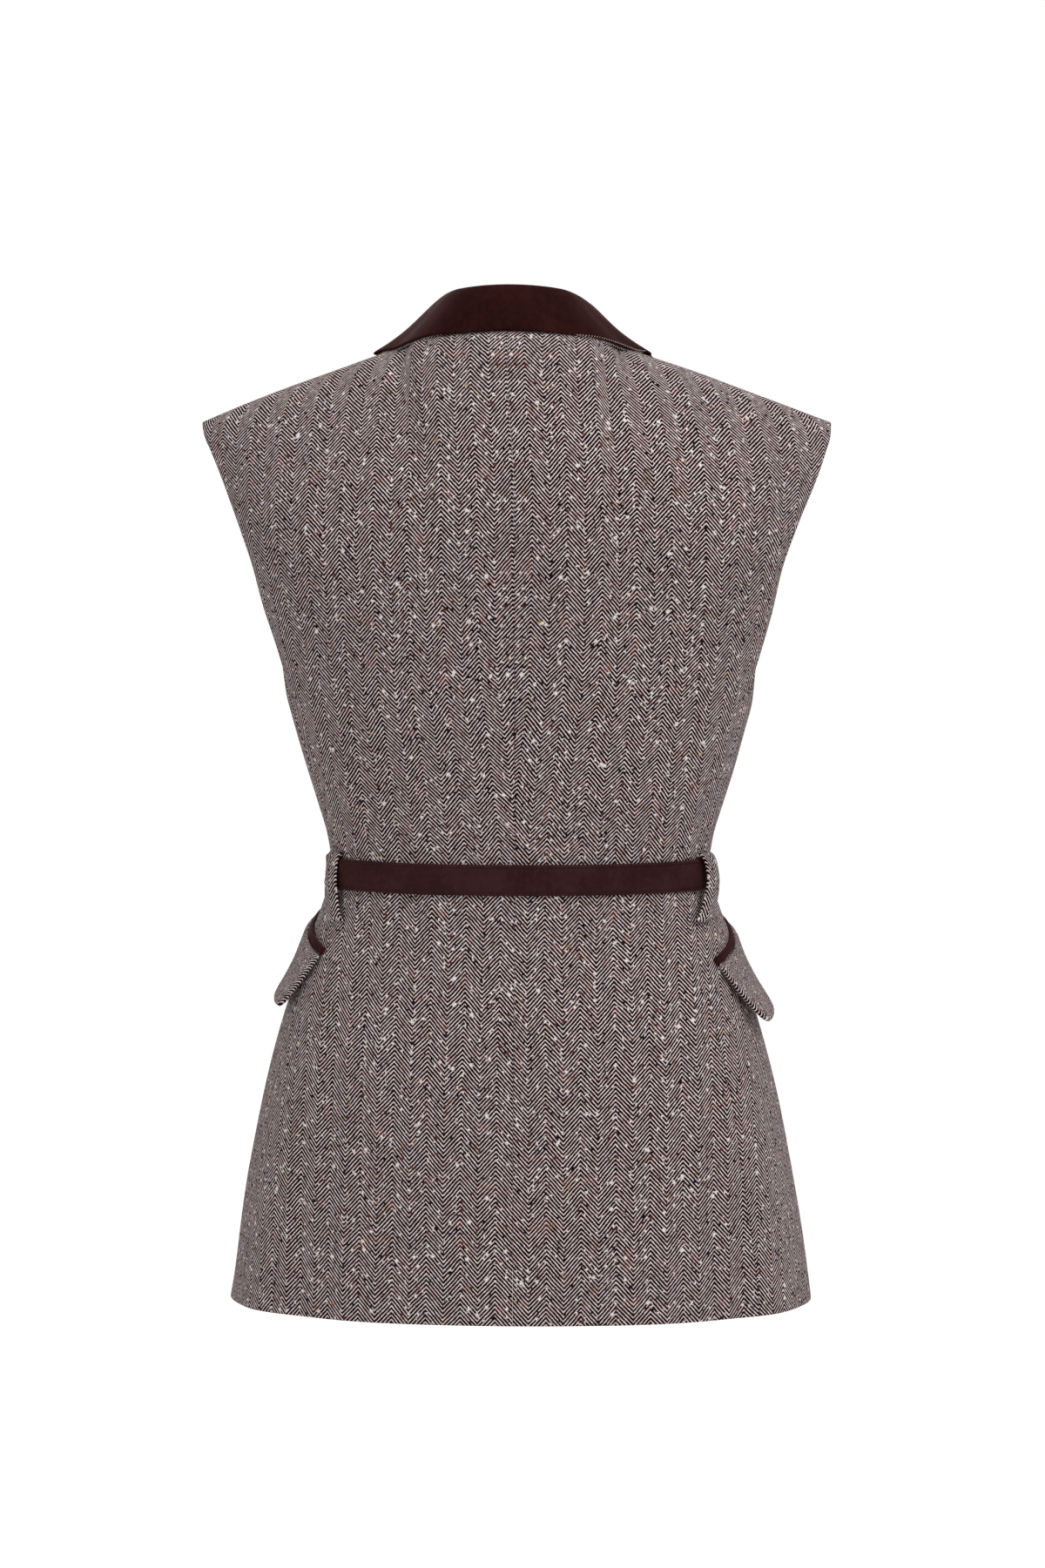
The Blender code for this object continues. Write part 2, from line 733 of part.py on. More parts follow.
def flap_welt(side, name):
    rows = []
    base = CLOTH / 2 + LAY + WELT_THICK / 2
    for down in (0.0, WELT_WIDTH / 2, WELT_WIDTH):
        row = []
        for j in range(FLAP_COLUMNS + 1):
            along = FLAP_LENGTH * j / FLAP_COLUMNS
            bulge = 0.0008 if down == WELT_WIDTH / 2 else 0.0
            row.append(flap_point(along, down, base + bulge))
        rows.append(row)
    return sheet(name, rows, WELT_THICK, HIDE, side, outward=(1, 0, 0))


# ---------------------------------------------------------------- buckle and buttons


def front_y(z):
    """The outer face of the closed front, on the centre line."""
    return -(ring_size("front", z) + fold_height(1.0, z) + OVERLAP_LIFT + CLOTH / 2)


def box(name, low, high, material):
    """A block between two corners."""
    size = np.array(high) - np.array(low)
    bpy.ops.mesh.primitive_cube_add(size=1, location=((np.array(high) + np.array(low)) / 2).tolist())
    block = bpy.context.object
    block.name = name
    block.scale = size.tolist()
    bpy.ops.object.transform_apply(location=False, rotation=False, scale=True)
    block.data.materials.append(material)
    for home in list(block.users_collection):
        home.objects.unlink(block)
    PARTS.objects.link(block)
    return block


def join(main, others):
    """One closed body from blocks that overlap."""
    for other in others:
        union = main.modifiers.new("join", "BOOLEAN")
        union.operation = "UNION"
        union.solver = "EXACT"
        union.object = other
        bpy.context.view_layer.objects.active = main
        bpy.ops.object.modifier_apply(modifier=union.name)
        bpy.data.objects.remove(other)
    return main


def buckle():
    """A frame whose end bars cross over the strap, and a prong from its near bar to its far one."""
    face = -(ring_size("front", WAIST_Z) + BELT_OFF + OVERLAP_LIFT + BELT_THICK / 2)
    strap = face - BELT_THICK - LAY - 0.0010
    high, wide, bar = BUCKLE_INNER_H / 2, BUCKLE_INNER_W / 2, BUCKLE_BAR
    top_y = strap - bar - 0.0004
    low_y = strap - 0.0004
    pieces = []
    for side in (-1, 1):
        pieces.append(box(
            "bar",
            (side * (wide + bar / 2) - bar / 2, top_y, WAIST_Z - high - bar),
            (side * (wide + bar / 2) + bar / 2, low_y, WAIST_Z + high + bar),
            METAL,
        ))
        pieces.append(box(
            "rail",
            (-wide - bar / 2, top_y, WAIST_Z + side * (high + bar / 2) - bar / 2),
            (wide + bar / 2, low_y, WAIST_Z + side * (high + bar / 2) + bar / 2),
            METAL,
        ))
    frame = join(pieces[0], pieces[1:])
    frame.name = "buckle_frame"
    prong = box(
        "buckle_prong",
        (-wide + LAY, low_y - 0.0024, WAIST_Z - 0.0013),
        (wide - LAY, low_y - 0.0002, WAIST_Z + 0.0013),
        METAL,
    )
    for piece in (frame, prong):
        edge = piece.modifiers.new("edge", "BEVEL")
        edge.width = 0.0005
        edge.segments = 1


def buttons():
    for name, z in BUTTON_HEIGHTS.items():
        lean = math.atan2(front_y(z + 0.01) - front_y(z - 0.01), 0.02)
        out = np.array((0, -math.cos(lean), math.sin(lean)))
        centre = np.array((0, front_y(z), z)) + out * (LAY + BUTTON_THICK / 2)
        bpy.ops.mesh.primitive_cylinder_add(
            vertices=28, radius=BUTTON_RADIUS, depth=BUTTON_THICK, location=centre.tolist(),
            rotation=(math.pi / 2 - lean, 0, 0),
        )
        button = bpy.context.object
        button.name = name
        button.data.materials.append(HORN)
        edge = button.modifiers.new("edge", "BEVEL")
        edge.width = 0.0008
        edge.segments = 2
        edge.limit_method = "ANGLE"
        for home in list(button.users_collection):
            home.objects.unlink(button)
        PARTS.objects.link(button)


# ---------------------------------------------------------------- the waistcoat

for thing in list(bpy.data.objects):
    bpy.data.objects.remove(thing)

PARTS = bpy.data.collections.new("suit_waistcoat")
bpy.context.scene.collection.children.link(PARTS)

TWEED = finish("tweed", (0.42, 0.37, 0.30), 0.95)
HIDE = finish("leather", (0.055, 0.022, 0.018), 0.45)
METAL = finish("dark_metal", (0.12, 0.10, 0.09), 0.35, 1.0)
HORN = finish("horn", (0.06, 0.035, 0.022), 0.4)

for half_name, half_side in (("left", LEFT), ("right", RIGHT)):
    back_panel(half_side, f"back_{half_name}")
    side_panel(half_side, f"side_{half_name}")
    front_panel(half_side, f"front_{half_name}")
    belt_loop(half_side, f"belt_loop_{half_name}")
    pocket_flap(half_side, f"flap_{half_name}")
    flap_welt(half_side, f"flap_welt_{half_name}")

collar()
under_collar()
belt()
buckle()
buttons()
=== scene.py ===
import math

import bmesh
import bpy
import numpy as np
from mathutils import Matrix, Vector


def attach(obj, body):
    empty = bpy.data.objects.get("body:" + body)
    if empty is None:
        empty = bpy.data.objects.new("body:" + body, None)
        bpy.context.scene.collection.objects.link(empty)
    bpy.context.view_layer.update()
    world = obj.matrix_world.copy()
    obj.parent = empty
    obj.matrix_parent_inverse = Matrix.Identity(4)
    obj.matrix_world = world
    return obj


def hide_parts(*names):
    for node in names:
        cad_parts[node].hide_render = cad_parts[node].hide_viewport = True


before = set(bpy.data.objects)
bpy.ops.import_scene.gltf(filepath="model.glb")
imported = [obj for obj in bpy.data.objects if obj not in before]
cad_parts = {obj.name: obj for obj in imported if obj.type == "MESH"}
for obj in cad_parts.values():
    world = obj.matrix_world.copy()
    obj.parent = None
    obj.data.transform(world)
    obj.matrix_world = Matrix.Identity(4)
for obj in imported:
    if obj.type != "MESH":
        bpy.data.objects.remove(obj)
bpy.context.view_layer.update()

# ---- Back panels
# Two backs of Donegal herringbone tweed, joined down the centre back and shaped to the waist
# in that seam and the two side seams. They run from the neck and the shoulder seams to the hem.

CLOTH = 0.0018
SEAM = 0.00008
HEM_Z = -0.651
WAIST_Z = -0.353
ARMHOLE_Z = -0.210

# the body's girths: z, half_width, back, front, back_power, front_power, side_back, side_front
GIRTH = ("z", "half_width", "back", "front", "back_power", "front_power", "side_back", "side_front")
GIRTHS = np.array((
    (-0.651, 0.2011, 0.126, 0.124, 2.10, 2.10, 0.82, 0.80),
    (-0.596, 0.1935, 0.124, 0.122, 2.10, 2.10, 0.82, 0.80),
    (-0.548, 0.1853, 0.121, 0.119, 2.12, 2.10, 0.82, 0.80),
    (-0.499, 0.1751, 0.116, 0.115, 2.14, 2.10, 0.825, 0.80),
    (-0.463, 0.1656, 0.110, 0.110, 2.15, 2.10, 0.825, 0.80),
    (-0.427, 0.1541, 0.101, 0.104, 2.15, 2.10, 0.83, 0.80),
    (-0.402, 0.1456, 0.093, 0.100, 2.15, 2.10, 0.845, 0.81),
    (-0.378, 0.1363, 0.086, 0.096, 2.15, 2.10, 0.895, 0.82),
    (-0.353, 0.1299, 0.082, 0.095, 2.15, 2.10, 0.962, 0.84),
    (-0.330, 0.1323, 0.083, 0.097, 2.15, 2.10, 0.966, 0.85),
    (-0.306, 0.1392, 0.087, 0.103, 2.18, 2.10, 0.965, 0.85),
    (-0.282, 0.1467, 0.091, 0.110, 2.20, 2.10, 0.965, 0.86),
    (-0.258, 0.1536, 0.095, 0.118, 2.25, 2.10, 0.970, 0.87),
    (-0.234, 0.1601, 0.097, 0.124, 2.30, 2.10, 0.975, 0.88),
    (-0.210, 0.1656, 0.098, 0.127, 2.35, 2.10, 0.980, 0.89),
))

# shoulders and neck
NECK_HALF = 0.070
NECK_Z = 0.0085
NECK_BACK_Y = 0.060
NECK_BACK_Z = 0.019
TIP_HALF = 0.2161
TIP_Z = -0.045
SHOULDER_BOW = 0.0012
SHOULDER_ROUND = 2.2
SHOULDER_SQUARE = (0.33, 0.40)
BLADE_CENTRE, BLADE_EDGE = 0.010, 0.020
CHEST_CENTRE, CHEST_EDGE = 0.004, 0.012

# the neck sits a little to the wearer's left of the hem
LEAN, LEAN_FROM, LEAN_TO = 0.0055, -0.090, 0.0

# armhole edges: z, the back's half-width, the front's half-width
ARMHOLE = np.array((
    (-0.2100, 0.1623, 0.1482),
    (-0.1740, 0.1728, 0.1470),
    (-0.1375, 0.1818, 0.1510),
    (-0.1135, 0.1905, 0.1590),
    (-0.0895, 0.2002, 0.1740),
    (-0.0650, 0.2100, 0.1960),
    (-0.0530, 0.2148, 0.2080),
    (-0.0450, 0.2161, 0.2161),
))

# long soft folds of the skirt: place round the ring, top, bottom, width, height
FLUTES = (
    (0.335, -0.385, HEM_Z, 0.060, 0.0030),
    (0.405, -0.400, HEM_Z, 0.050, -0.0008),
    (0.180, -0.430, HEM_Z, 0.070, -0.0030),
    (0.700, -0.400, HEM_Z, 0.060, 0.0040),
    (0.850, -0.420, HEM_Z, 0.060, -0.0030),
)

# cloth taken in at the centre-back seam, by height
TAKEN_IN = np.array((
    (-0.651, 0.0124), (-0.500, 0.0128), (-0.379, 0.0147), (-0.340, 0.0140),
    (-0.277, 0.0085), (-0.222, 0.0018), (-0.174, 0.0), (0.05, 0.0),
))


SLOPES = {}


def smooth(rows, column, z):
    """A smooth curve through one column of a table, read at these heights."""
    heights, values = rows[:, 0], rows[:, column]
    if id(rows) not in SLOPES:
        SLOPES[id(rows)] = np.gradient(rows, heights, axis=0)
    slopes = SLOPES[id(rows)][:, column]
    z = np.clip(z, heights[0], heights[-1])
    k = np.clip(np.searchsorted(heights, z) - 1, 0, len(heights) - 2)
    step = heights[k + 1] - heights[k]
    t = (z - heights[k]) / step
    return (
        (2 * t**3 - 3 * t**2 + 1) * values[k] + (t**3 - 2 * t**2 + t) * step * slopes[k]
        + (3 * t**2 - 2 * t**3) * values[k + 1] + (t**3 - t**2) * step * slopes[k + 1]
    )


def girth(name, z):
    return smooth(GIRTHS, GIRTH.index(name), z)


def ease(t):
    t = np.clip(t, 0.0, 1.0)
    return t * t * (3 - 2 * t)


def unit(v):
    return v / np.maximum(np.linalg.norm(v, axis=-1, keepdims=True), 1e-12)


def flute_height(turn, z):
    total = 0.0
    for place, top, bottom, width, height in FLUTES:
        total = total + height * ease((top - z) / (top - bottom)) * np.exp(-((turn - place) / width) ** 2)
    return total


def body_point(turn, z):
    """The left half's ring: 0 at the centre back, 1 at the centre front, past 1 onto the other half."""
    turn, z = np.broadcast_arrays(np.asarray(turn, float), np.asarray(z, float))
    over = turn > 1
    turn = np.where(over, 2 - turn, turn)
    angle = turn * np.pi
    back = angle <= np.pi / 2
    power = np.where(back, girth("back_power", z), girth("front_power", z))
    depth = np.where(back, girth("back", z), -girth("front", z))
    push = flute_height(turn, z)
    x = (girth("half_width", z) + push) * np.abs(np.sin(angle)) ** (2 / power)
    y = (depth + np.copysign(push, depth)) * np.abs(np.cos(angle)) ** (2 / power)
    return np.stack([np.where(over, -x, x), y, z], axis=-1)


TURNS = np.linspace(0, 1.25, 501)
LEVELS = np.linspace(HEM_Z - 0.002, ARMHOLE_Z, 222)
_steps = np.linalg.norm(np.diff(body_point(TURNS[None], LEVELS[:, None]), axis=1), axis=-1)
LENGTHS = np.concatenate((np.zeros((len(LEVELS), 1)), np.cumsum(_steps, axis=1)), axis=1)


class Ring:
    """One height of the body, measured along the cloth."""

    def __init__(self, z):
        self.z = z
        place = np.clip((z - LEVELS[0]) / (LEVELS[1] - LEVELS[0]), 0, len(LEVELS) - 1.001)
        part = place - int(place)
        self.lengths = LENGTHS[int(place)] * (1 - part) + LENGTHS[int(place) + 1] * part

    def length(self, turn):
        return np.interp(turn, TURNS, self.lengths)

    def turn(self, length):
        return np.interp(length, self.lengths, TURNS)

    def at(self, length):
        return body_point(self.turn(length), self.z)

    def seam(self, name):
        share = girth(name, self.z)
        if name == "side_back":
            return float(self.length(math.asin(share ** (girth("back_power", self.z) / 2)) / math.pi))
        return float(self.length(1 - math.asin(share ** (girth("front_power", self.z) / 2)) / math.pi))


CHEST = Ring(ARMHOLE_Z)
BACK_EDGE = CHEST.seam("side_back")
FRONT_EDGE = CHEST.seam("side_front")
FRONT_END = float(CHEST.length(1.0))


def rise(share, t):
    neck, tip = SHOULDER_SQUARE
    return np.maximum(1 - t**SHOULDER_ROUND, 0.0) ** (neck + (tip - neck) * share)


def shoulder_z(half):
    share = (half - NECK_HALF) / (TIP_HALF - NECK_HALF)
    return NECK_Z + (TIP_Z - NECK_Z) * share + SHOULDER_BOW * np.sin(np.pi * np.clip(share, 0, 1))


def back_top(half):
    lift = np.sqrt(np.maximum(1 - (half / NECK_HALF) ** 2, 0.0))
    low = np.where(half >= NECK_HALF, shoulder_z(half), NECK_Z)
    return NECK_BACK_Y * lift, low + np.where(half < NECK_HALF, (NECK_BACK_Z - NECK_Z) * lift, 0.0)


def back_length(share):
    count = 201
    halves = CHEST.at(CHEST.lengths[:count])[:, 0]
    return np.interp(share * CHEST.at(BACK_EDGE)[0], halves, CHEST.lengths[:count])


def yoke_back(share, t):
    """A point of the upper back: share of its half-width, share of the way up."""
    base_y = CHEST.at(back_length(share))[..., 1]
    top_y, top_z = back_top(share * TIP_HALF)
    half = smooth(ARMHOLE, 1, ARMHOLE_Z + (TIP_Z - ARMHOLE_Z) * t)
    swell = (BLADE_CENTRE + (BLADE_EDGE - BLADE_CENTRE) * share**2) * np.sin(np.pi * t) ** 2
    y = top_y + (base_y - top_y) * rise(share, t) + swell
    return np.stack(np.broadcast_arrays(share * half, y, ARMHOLE_Z + (top_z - ARMHOLE_Z) * t), axis=-1)


def yoke_front(share, t):
    """A point of the upper front: share 0 at its inner edge, 1 at the armhole."""
    length = FRONT_END + OVERLAP + (FRONT_EDGE - FRONT_END - OVERLAP) * share
    base = CHEST.at(length)
    outer = smooth(ARMHOLE, 2, ARMHOLE_Z + (TIP_Z - ARMHOLE_Z) * t)
    outer_base = CHEST.at(FRONT_EDGE)[0]
    inner_base = CHEST.at(FRONT_END + OVERLAP)[0]
    place = (base[..., 0] - inner_base) / (outer_base - inner_base)
    inner = -OVERLAP + (NECK_HALF + OVERLAP) * t
    half = inner + (outer - inner) * place
    top_z = shoulder_z(NECK_HALF + (TIP_HALF - NECK_HALF) * place)
    swell = (CHEST_CENTRE + (CHEST_EDGE - CHEST_CENTRE) * place**2) * np.sin(np.pi * t) ** 2
    y = base[..., 1] * rise(place, t) - swell
    return np.stack(np.broadcast_arrays(half, y, ARMHOLE_Z + (top_z - ARMHOLE_Z) * t), axis=-1)


OVERLAP = 0.020
SKIRT_Z = np.concatenate((
    np.array((0.0, 0.0004, 0.0012)) + HEM_Z,
    np.linspace(HEM_Z + 0.004, ARMHOLE_Z, 104),
))


def spread(count, width):
    """Shares across a panel, with two close columns at each edge for its turned edge."""
    shares = np.linspace(0, 1, count)
    near = np.array((0.0004, 0.0012)) / width
    return np.concatenate(([0.0], near, shares[1:-1], 1 - near[::-1], [1.0]))


def wander(points, seed):
    """Slow unevenness of worn cloth, a fraction of a millimetre high."""
    rng = np.random.default_rng(seed)
    total = np.zeros(points.shape[:-1])
    for _ in range(9):
        way = unit(rng.normal(size=3) * np.array((1.0, 0.6, 0.7)))
        size = rng.uniform(0.05, 0.14)
        total += np.sin(points @ way * 2 * np.pi / size + rng.uniform(0, 6.28)) * size / 0.1
    return total / 9 * 0.0011


def cloth_uv(grid, across):
    """Cloth coordinates in metres: across the warp, and up along it from the waist."""
    rise_up = np.linalg.norm(np.diff(grid, axis=0), axis=-1)
    up = np.concatenate((np.zeros((1, grid.shape[1])), np.cumsum(rise_up, axis=0)))
    level = np.array([np.interp(WAIST_Z, grid[:, c, 2], up[:, c]) for c in range(grid.shape[1])])
    return np.stack((across, up - level), axis=-1)


def outward(grid, facing):
    """The way out of a grid of points, on the side that it faces."""
    normal = unit(np.cross(np.gradient(grid, axis=1), np.gradient(grid, axis=0)))
    middle = normal[grid.shape[0] // 2, grid.shape[1] // 2]
    return normal if np.dot(middle, facing) > 0 else -normal


def edge_distance(grid):
    """How far each point is from the nearest edge of its grid."""
    far = np.full(grid.shape[:2], 9.0)
    for axis in (0, 1):
        steps = np.linalg.norm(np.diff(grid, axis=axis), axis=-1)
        start = np.zeros((1, grid.shape[1])) if axis == 0 else np.zeros((grid.shape[0], 1))
        run = np.concatenate((start, np.cumsum(steps, axis=axis)), axis=axis)
        total = run[-1:] if axis == 0 else run[:, -1:]
        far = np.minimum(far, np.minimum(run, total - run))
    return far


def cloth_piece(name, grid, uv, facing, thick=CLOTH, edge=0.35, raised=None):
    """A wall round a grid, with rounded edges, as one closed mesh with cloth coordinates."""
    out = outward(grid, np.array(facing, float))
    rows, cols = grid.shape[:2]
    near = np.clip(edge_distance(grid) / (thick / 2), 0, 1)
    full = np.maximum(np.sqrt(1 - (1 - near) ** 2), edge)
    offset = (full * thick / 2)[..., None] * out
    top = grid + offset
    if raised is not None:
        top = top + raised[..., None] * out
    under = grid - offset
    verts = np.concatenate((top.reshape(-1, 3), under.reshape(-1, 3)))
    verts[:, 0] += LEAN * ease((verts[:, 2] - LEAN_FROM) / (LEAN_TO - LEAN_FROM))
    at = np.arange(rows * cols).reshape(rows, cols)
    quads = np.stack((at[:-1, :-1], at[:-1, 1:], at[1:, 1:], at[1:, :-1]), axis=-1).reshape(-1, 4)
    probe = quads[len(quads) // 2 + cols // 2]
    corner = verts[probe]
    turned = np.dot(np.cross(corner[1] - corner[0], corner[3] - corner[0]), out.reshape(-1, 3)[probe[0]]) < 0
    if turned:
        quads = quads[:, ::-1]
    below = quads[:, ::-1] + rows * cols
    ring = np.concatenate((at[0, :-1], at[:-1, -1], at[-1, :0:-1], at[:0:-1, 0]))
    after = np.roll(ring, -1)
    rim = np.stack((ring, ring + rows * cols, after + rows * cols, after), axis=-1)
    if turned:
        rim = rim[:, ::-1]
    faces = np.concatenate((quads, below, rim))
    mesh = bpy.data.meshes.new(name)
    mesh.from_pydata(verts.tolist(), [], faces.tolist())
    layer = mesh.uv_layers.new(name="Cloth")
    flat = np.concatenate((uv.reshape(-1, 2), uv.reshape(-1, 2)))
    loops = np.zeros(len(mesh.loops), dtype=np.int32)
    mesh.loops.foreach_get("vertex_index", loops)
    layer.uv.foreach_set("vector", flat[loops].astype(np.float32).ravel())
    mesh.polygons.foreach_set("use_smooth", np.ones(len(mesh.polygons), dtype=bool))
    mesh.update()
    piece = bpy.data.objects.new(name, mesh)
    bpy.context.scene.collection.objects.link(piece)
    return piece


# soft creases: the side it is on, from (across, z), to (across, z), width, height
CREASES = (
    ("back", 0.060, -0.318, 0.055, -0.402, 0.0060, 0.0016),
    ("back", 0.072, -0.322, 0.070, -0.384, 0.0050, -0.0010),
    ("back", -0.083, -0.316, -0.079, -0.398, 0.0065, 0.0012),
    ("back", -0.028, -0.330, -0.027, -0.376, 0.0050, 0.0007),
    ("back", 0.130, -0.262, 0.098, -0.334, 0.0100, 0.0014),
    ("back", -0.134, -0.250, -0.104, -0.332, 0.0110, 0.0013),
    ("back", 0.150, -0.175, 0.120, -0.300, 0.0150, -0.0012),
    ("back", -0.168, -0.120, -0.140, -0.210, 0.0160, -0.0012),
    ("back", 0.172, -0.110, 0.146, -0.205, 0.0150, -0.0013),
    ("back", -0.128, -0.410, -0.126, -0.560, 0.0130, 0.0014),
    ("back", 0.140, -0.420, 0.150, -0.600, 0.0150, 0.0012),
    ("front", 0.052, -0.312, 0.049, -0.400, 0.0060, 0.0014),
    ("front", -0.066, -0.320, -0.060, -0.392, 0.0060, 0.0013),
    ("front", 0.105, -0.255, 0.078, -0.330, 0.0110, 0.0014),
    ("front", -0.112, -0.262, -0.084, -0.334, 0.0110, 0.0015),
    ("front", 0.090, -0.410, 0.100, -0.590, 0.0150, 0.0014),
    ("front", -0.086, -0.415, -0.095, -0.570, 0.0150, 0.0013),
)


def crease_height(points, facing):
    """How far the listed creases stand out at these points."""
    side = "back" if facing[1] > 0.5 else "front" if facing[1] < -0.5 else None
    total = np.zeros(points.shape[:-1])
    for where, x0, z0, x1, z1, width, height in CREASES:
        if where != side:
            continue
        start, way = np.array((x0, z0)), np.array((x1 - x0, z1 - z0))
        rel = points[..., (0, 2)] - start
        along = (rel @ way) / (way @ way)
        off = np.linalg.norm(rel - np.clip(along, 0, 1)[..., None] * way, axis=-1)
        fade = ease(along / 0.35 + 0.2) * ease((1 - along) / 0.35 + 0.2)
        total += height * np.exp(-((off / width) ** 2)) * fade
    return total


def worn(grid, facing):
    """The grid with its creases and its slow unevenness."""
    out = outward(grid, np.array(facing, float))
    height = wander(grid, 7) + crease_height(grid, facing)
    calm = np.ones(grid.shape[:2])
    calm *= ease(np.arange(grid.shape[0]) / 6.0)[:, None] * 0.7 + 0.3
    calm *= 1 - 0.75 * np.exp(-(((grid[..., 2] - WAIST_Z) / 0.016) ** 4))
    return grid + out * (height * calm)[..., None]


def node(tree, kind, *inputs, **settings):
    """Adds a node, with its settings, and joins or sets its inputs in their order."""
    made = tree.nodes.new(kind)
    for key, value in settings.items():
        setattr(made, key, value)
    for socket, value in zip(made.inputs, inputs):
        if isinstance(value, bpy.types.NodeSocket):
            tree.links.new(value, socket)
        elif value is not None:
            socket.default_value = value
    return made


def sums(tree, operation, *values):
    return node(tree, "ShaderNodeMath", *values, operation=operation).outputs[0]


def tint(tree, factor, first, second):
    """Mixes two colours."""
    mix = tree.nodes.new("ShaderNodeMix")
    mix.data_type = "RGBA"
    for socket, value in zip((mix.inputs[0], mix.inputs[6], mix.inputs[7]), (factor, first, second)):
        if isinstance(value, bpy.types.NodeSocket):
            tree.links.new(value, socket)
        else:
            socket.default_value = value
    return mix.outputs[2]


def ramp(tree, value, low, high, from_low=0.0, from_high=1.0):
    """Low to high, smoothly, as the value goes from one limit to the other."""
    return node(tree, "ShaderNodeMapRange", value, from_low, from_high, low, high,
                interpolation_type="SMOOTHSTEP").outputs[0]


def group(name, inputs, outputs):
    """An empty shader node group with these sockets, its input node and its output node."""
    tree = bpy.data.node_groups.new(name, "ShaderNodeTree")
    for label, kind, value in inputs:
        socket = tree.interface.new_socket(label, in_out="INPUT", socket_type="NodeSocket" + kind)
        if value is not None:
            socket.default_value = value
    for label, kind in outputs:
        tree.interface.new_socket(label, in_out="OUTPUT", socket_type="NodeSocket" + kind)
    return tree, tree.nodes.new("NodeGroupInput"), tree.nodes.new("NodeGroupOutput")


COLUMN, PEAK = 0.0118, 0.0113  # the herringbone's column width, and where its first point is


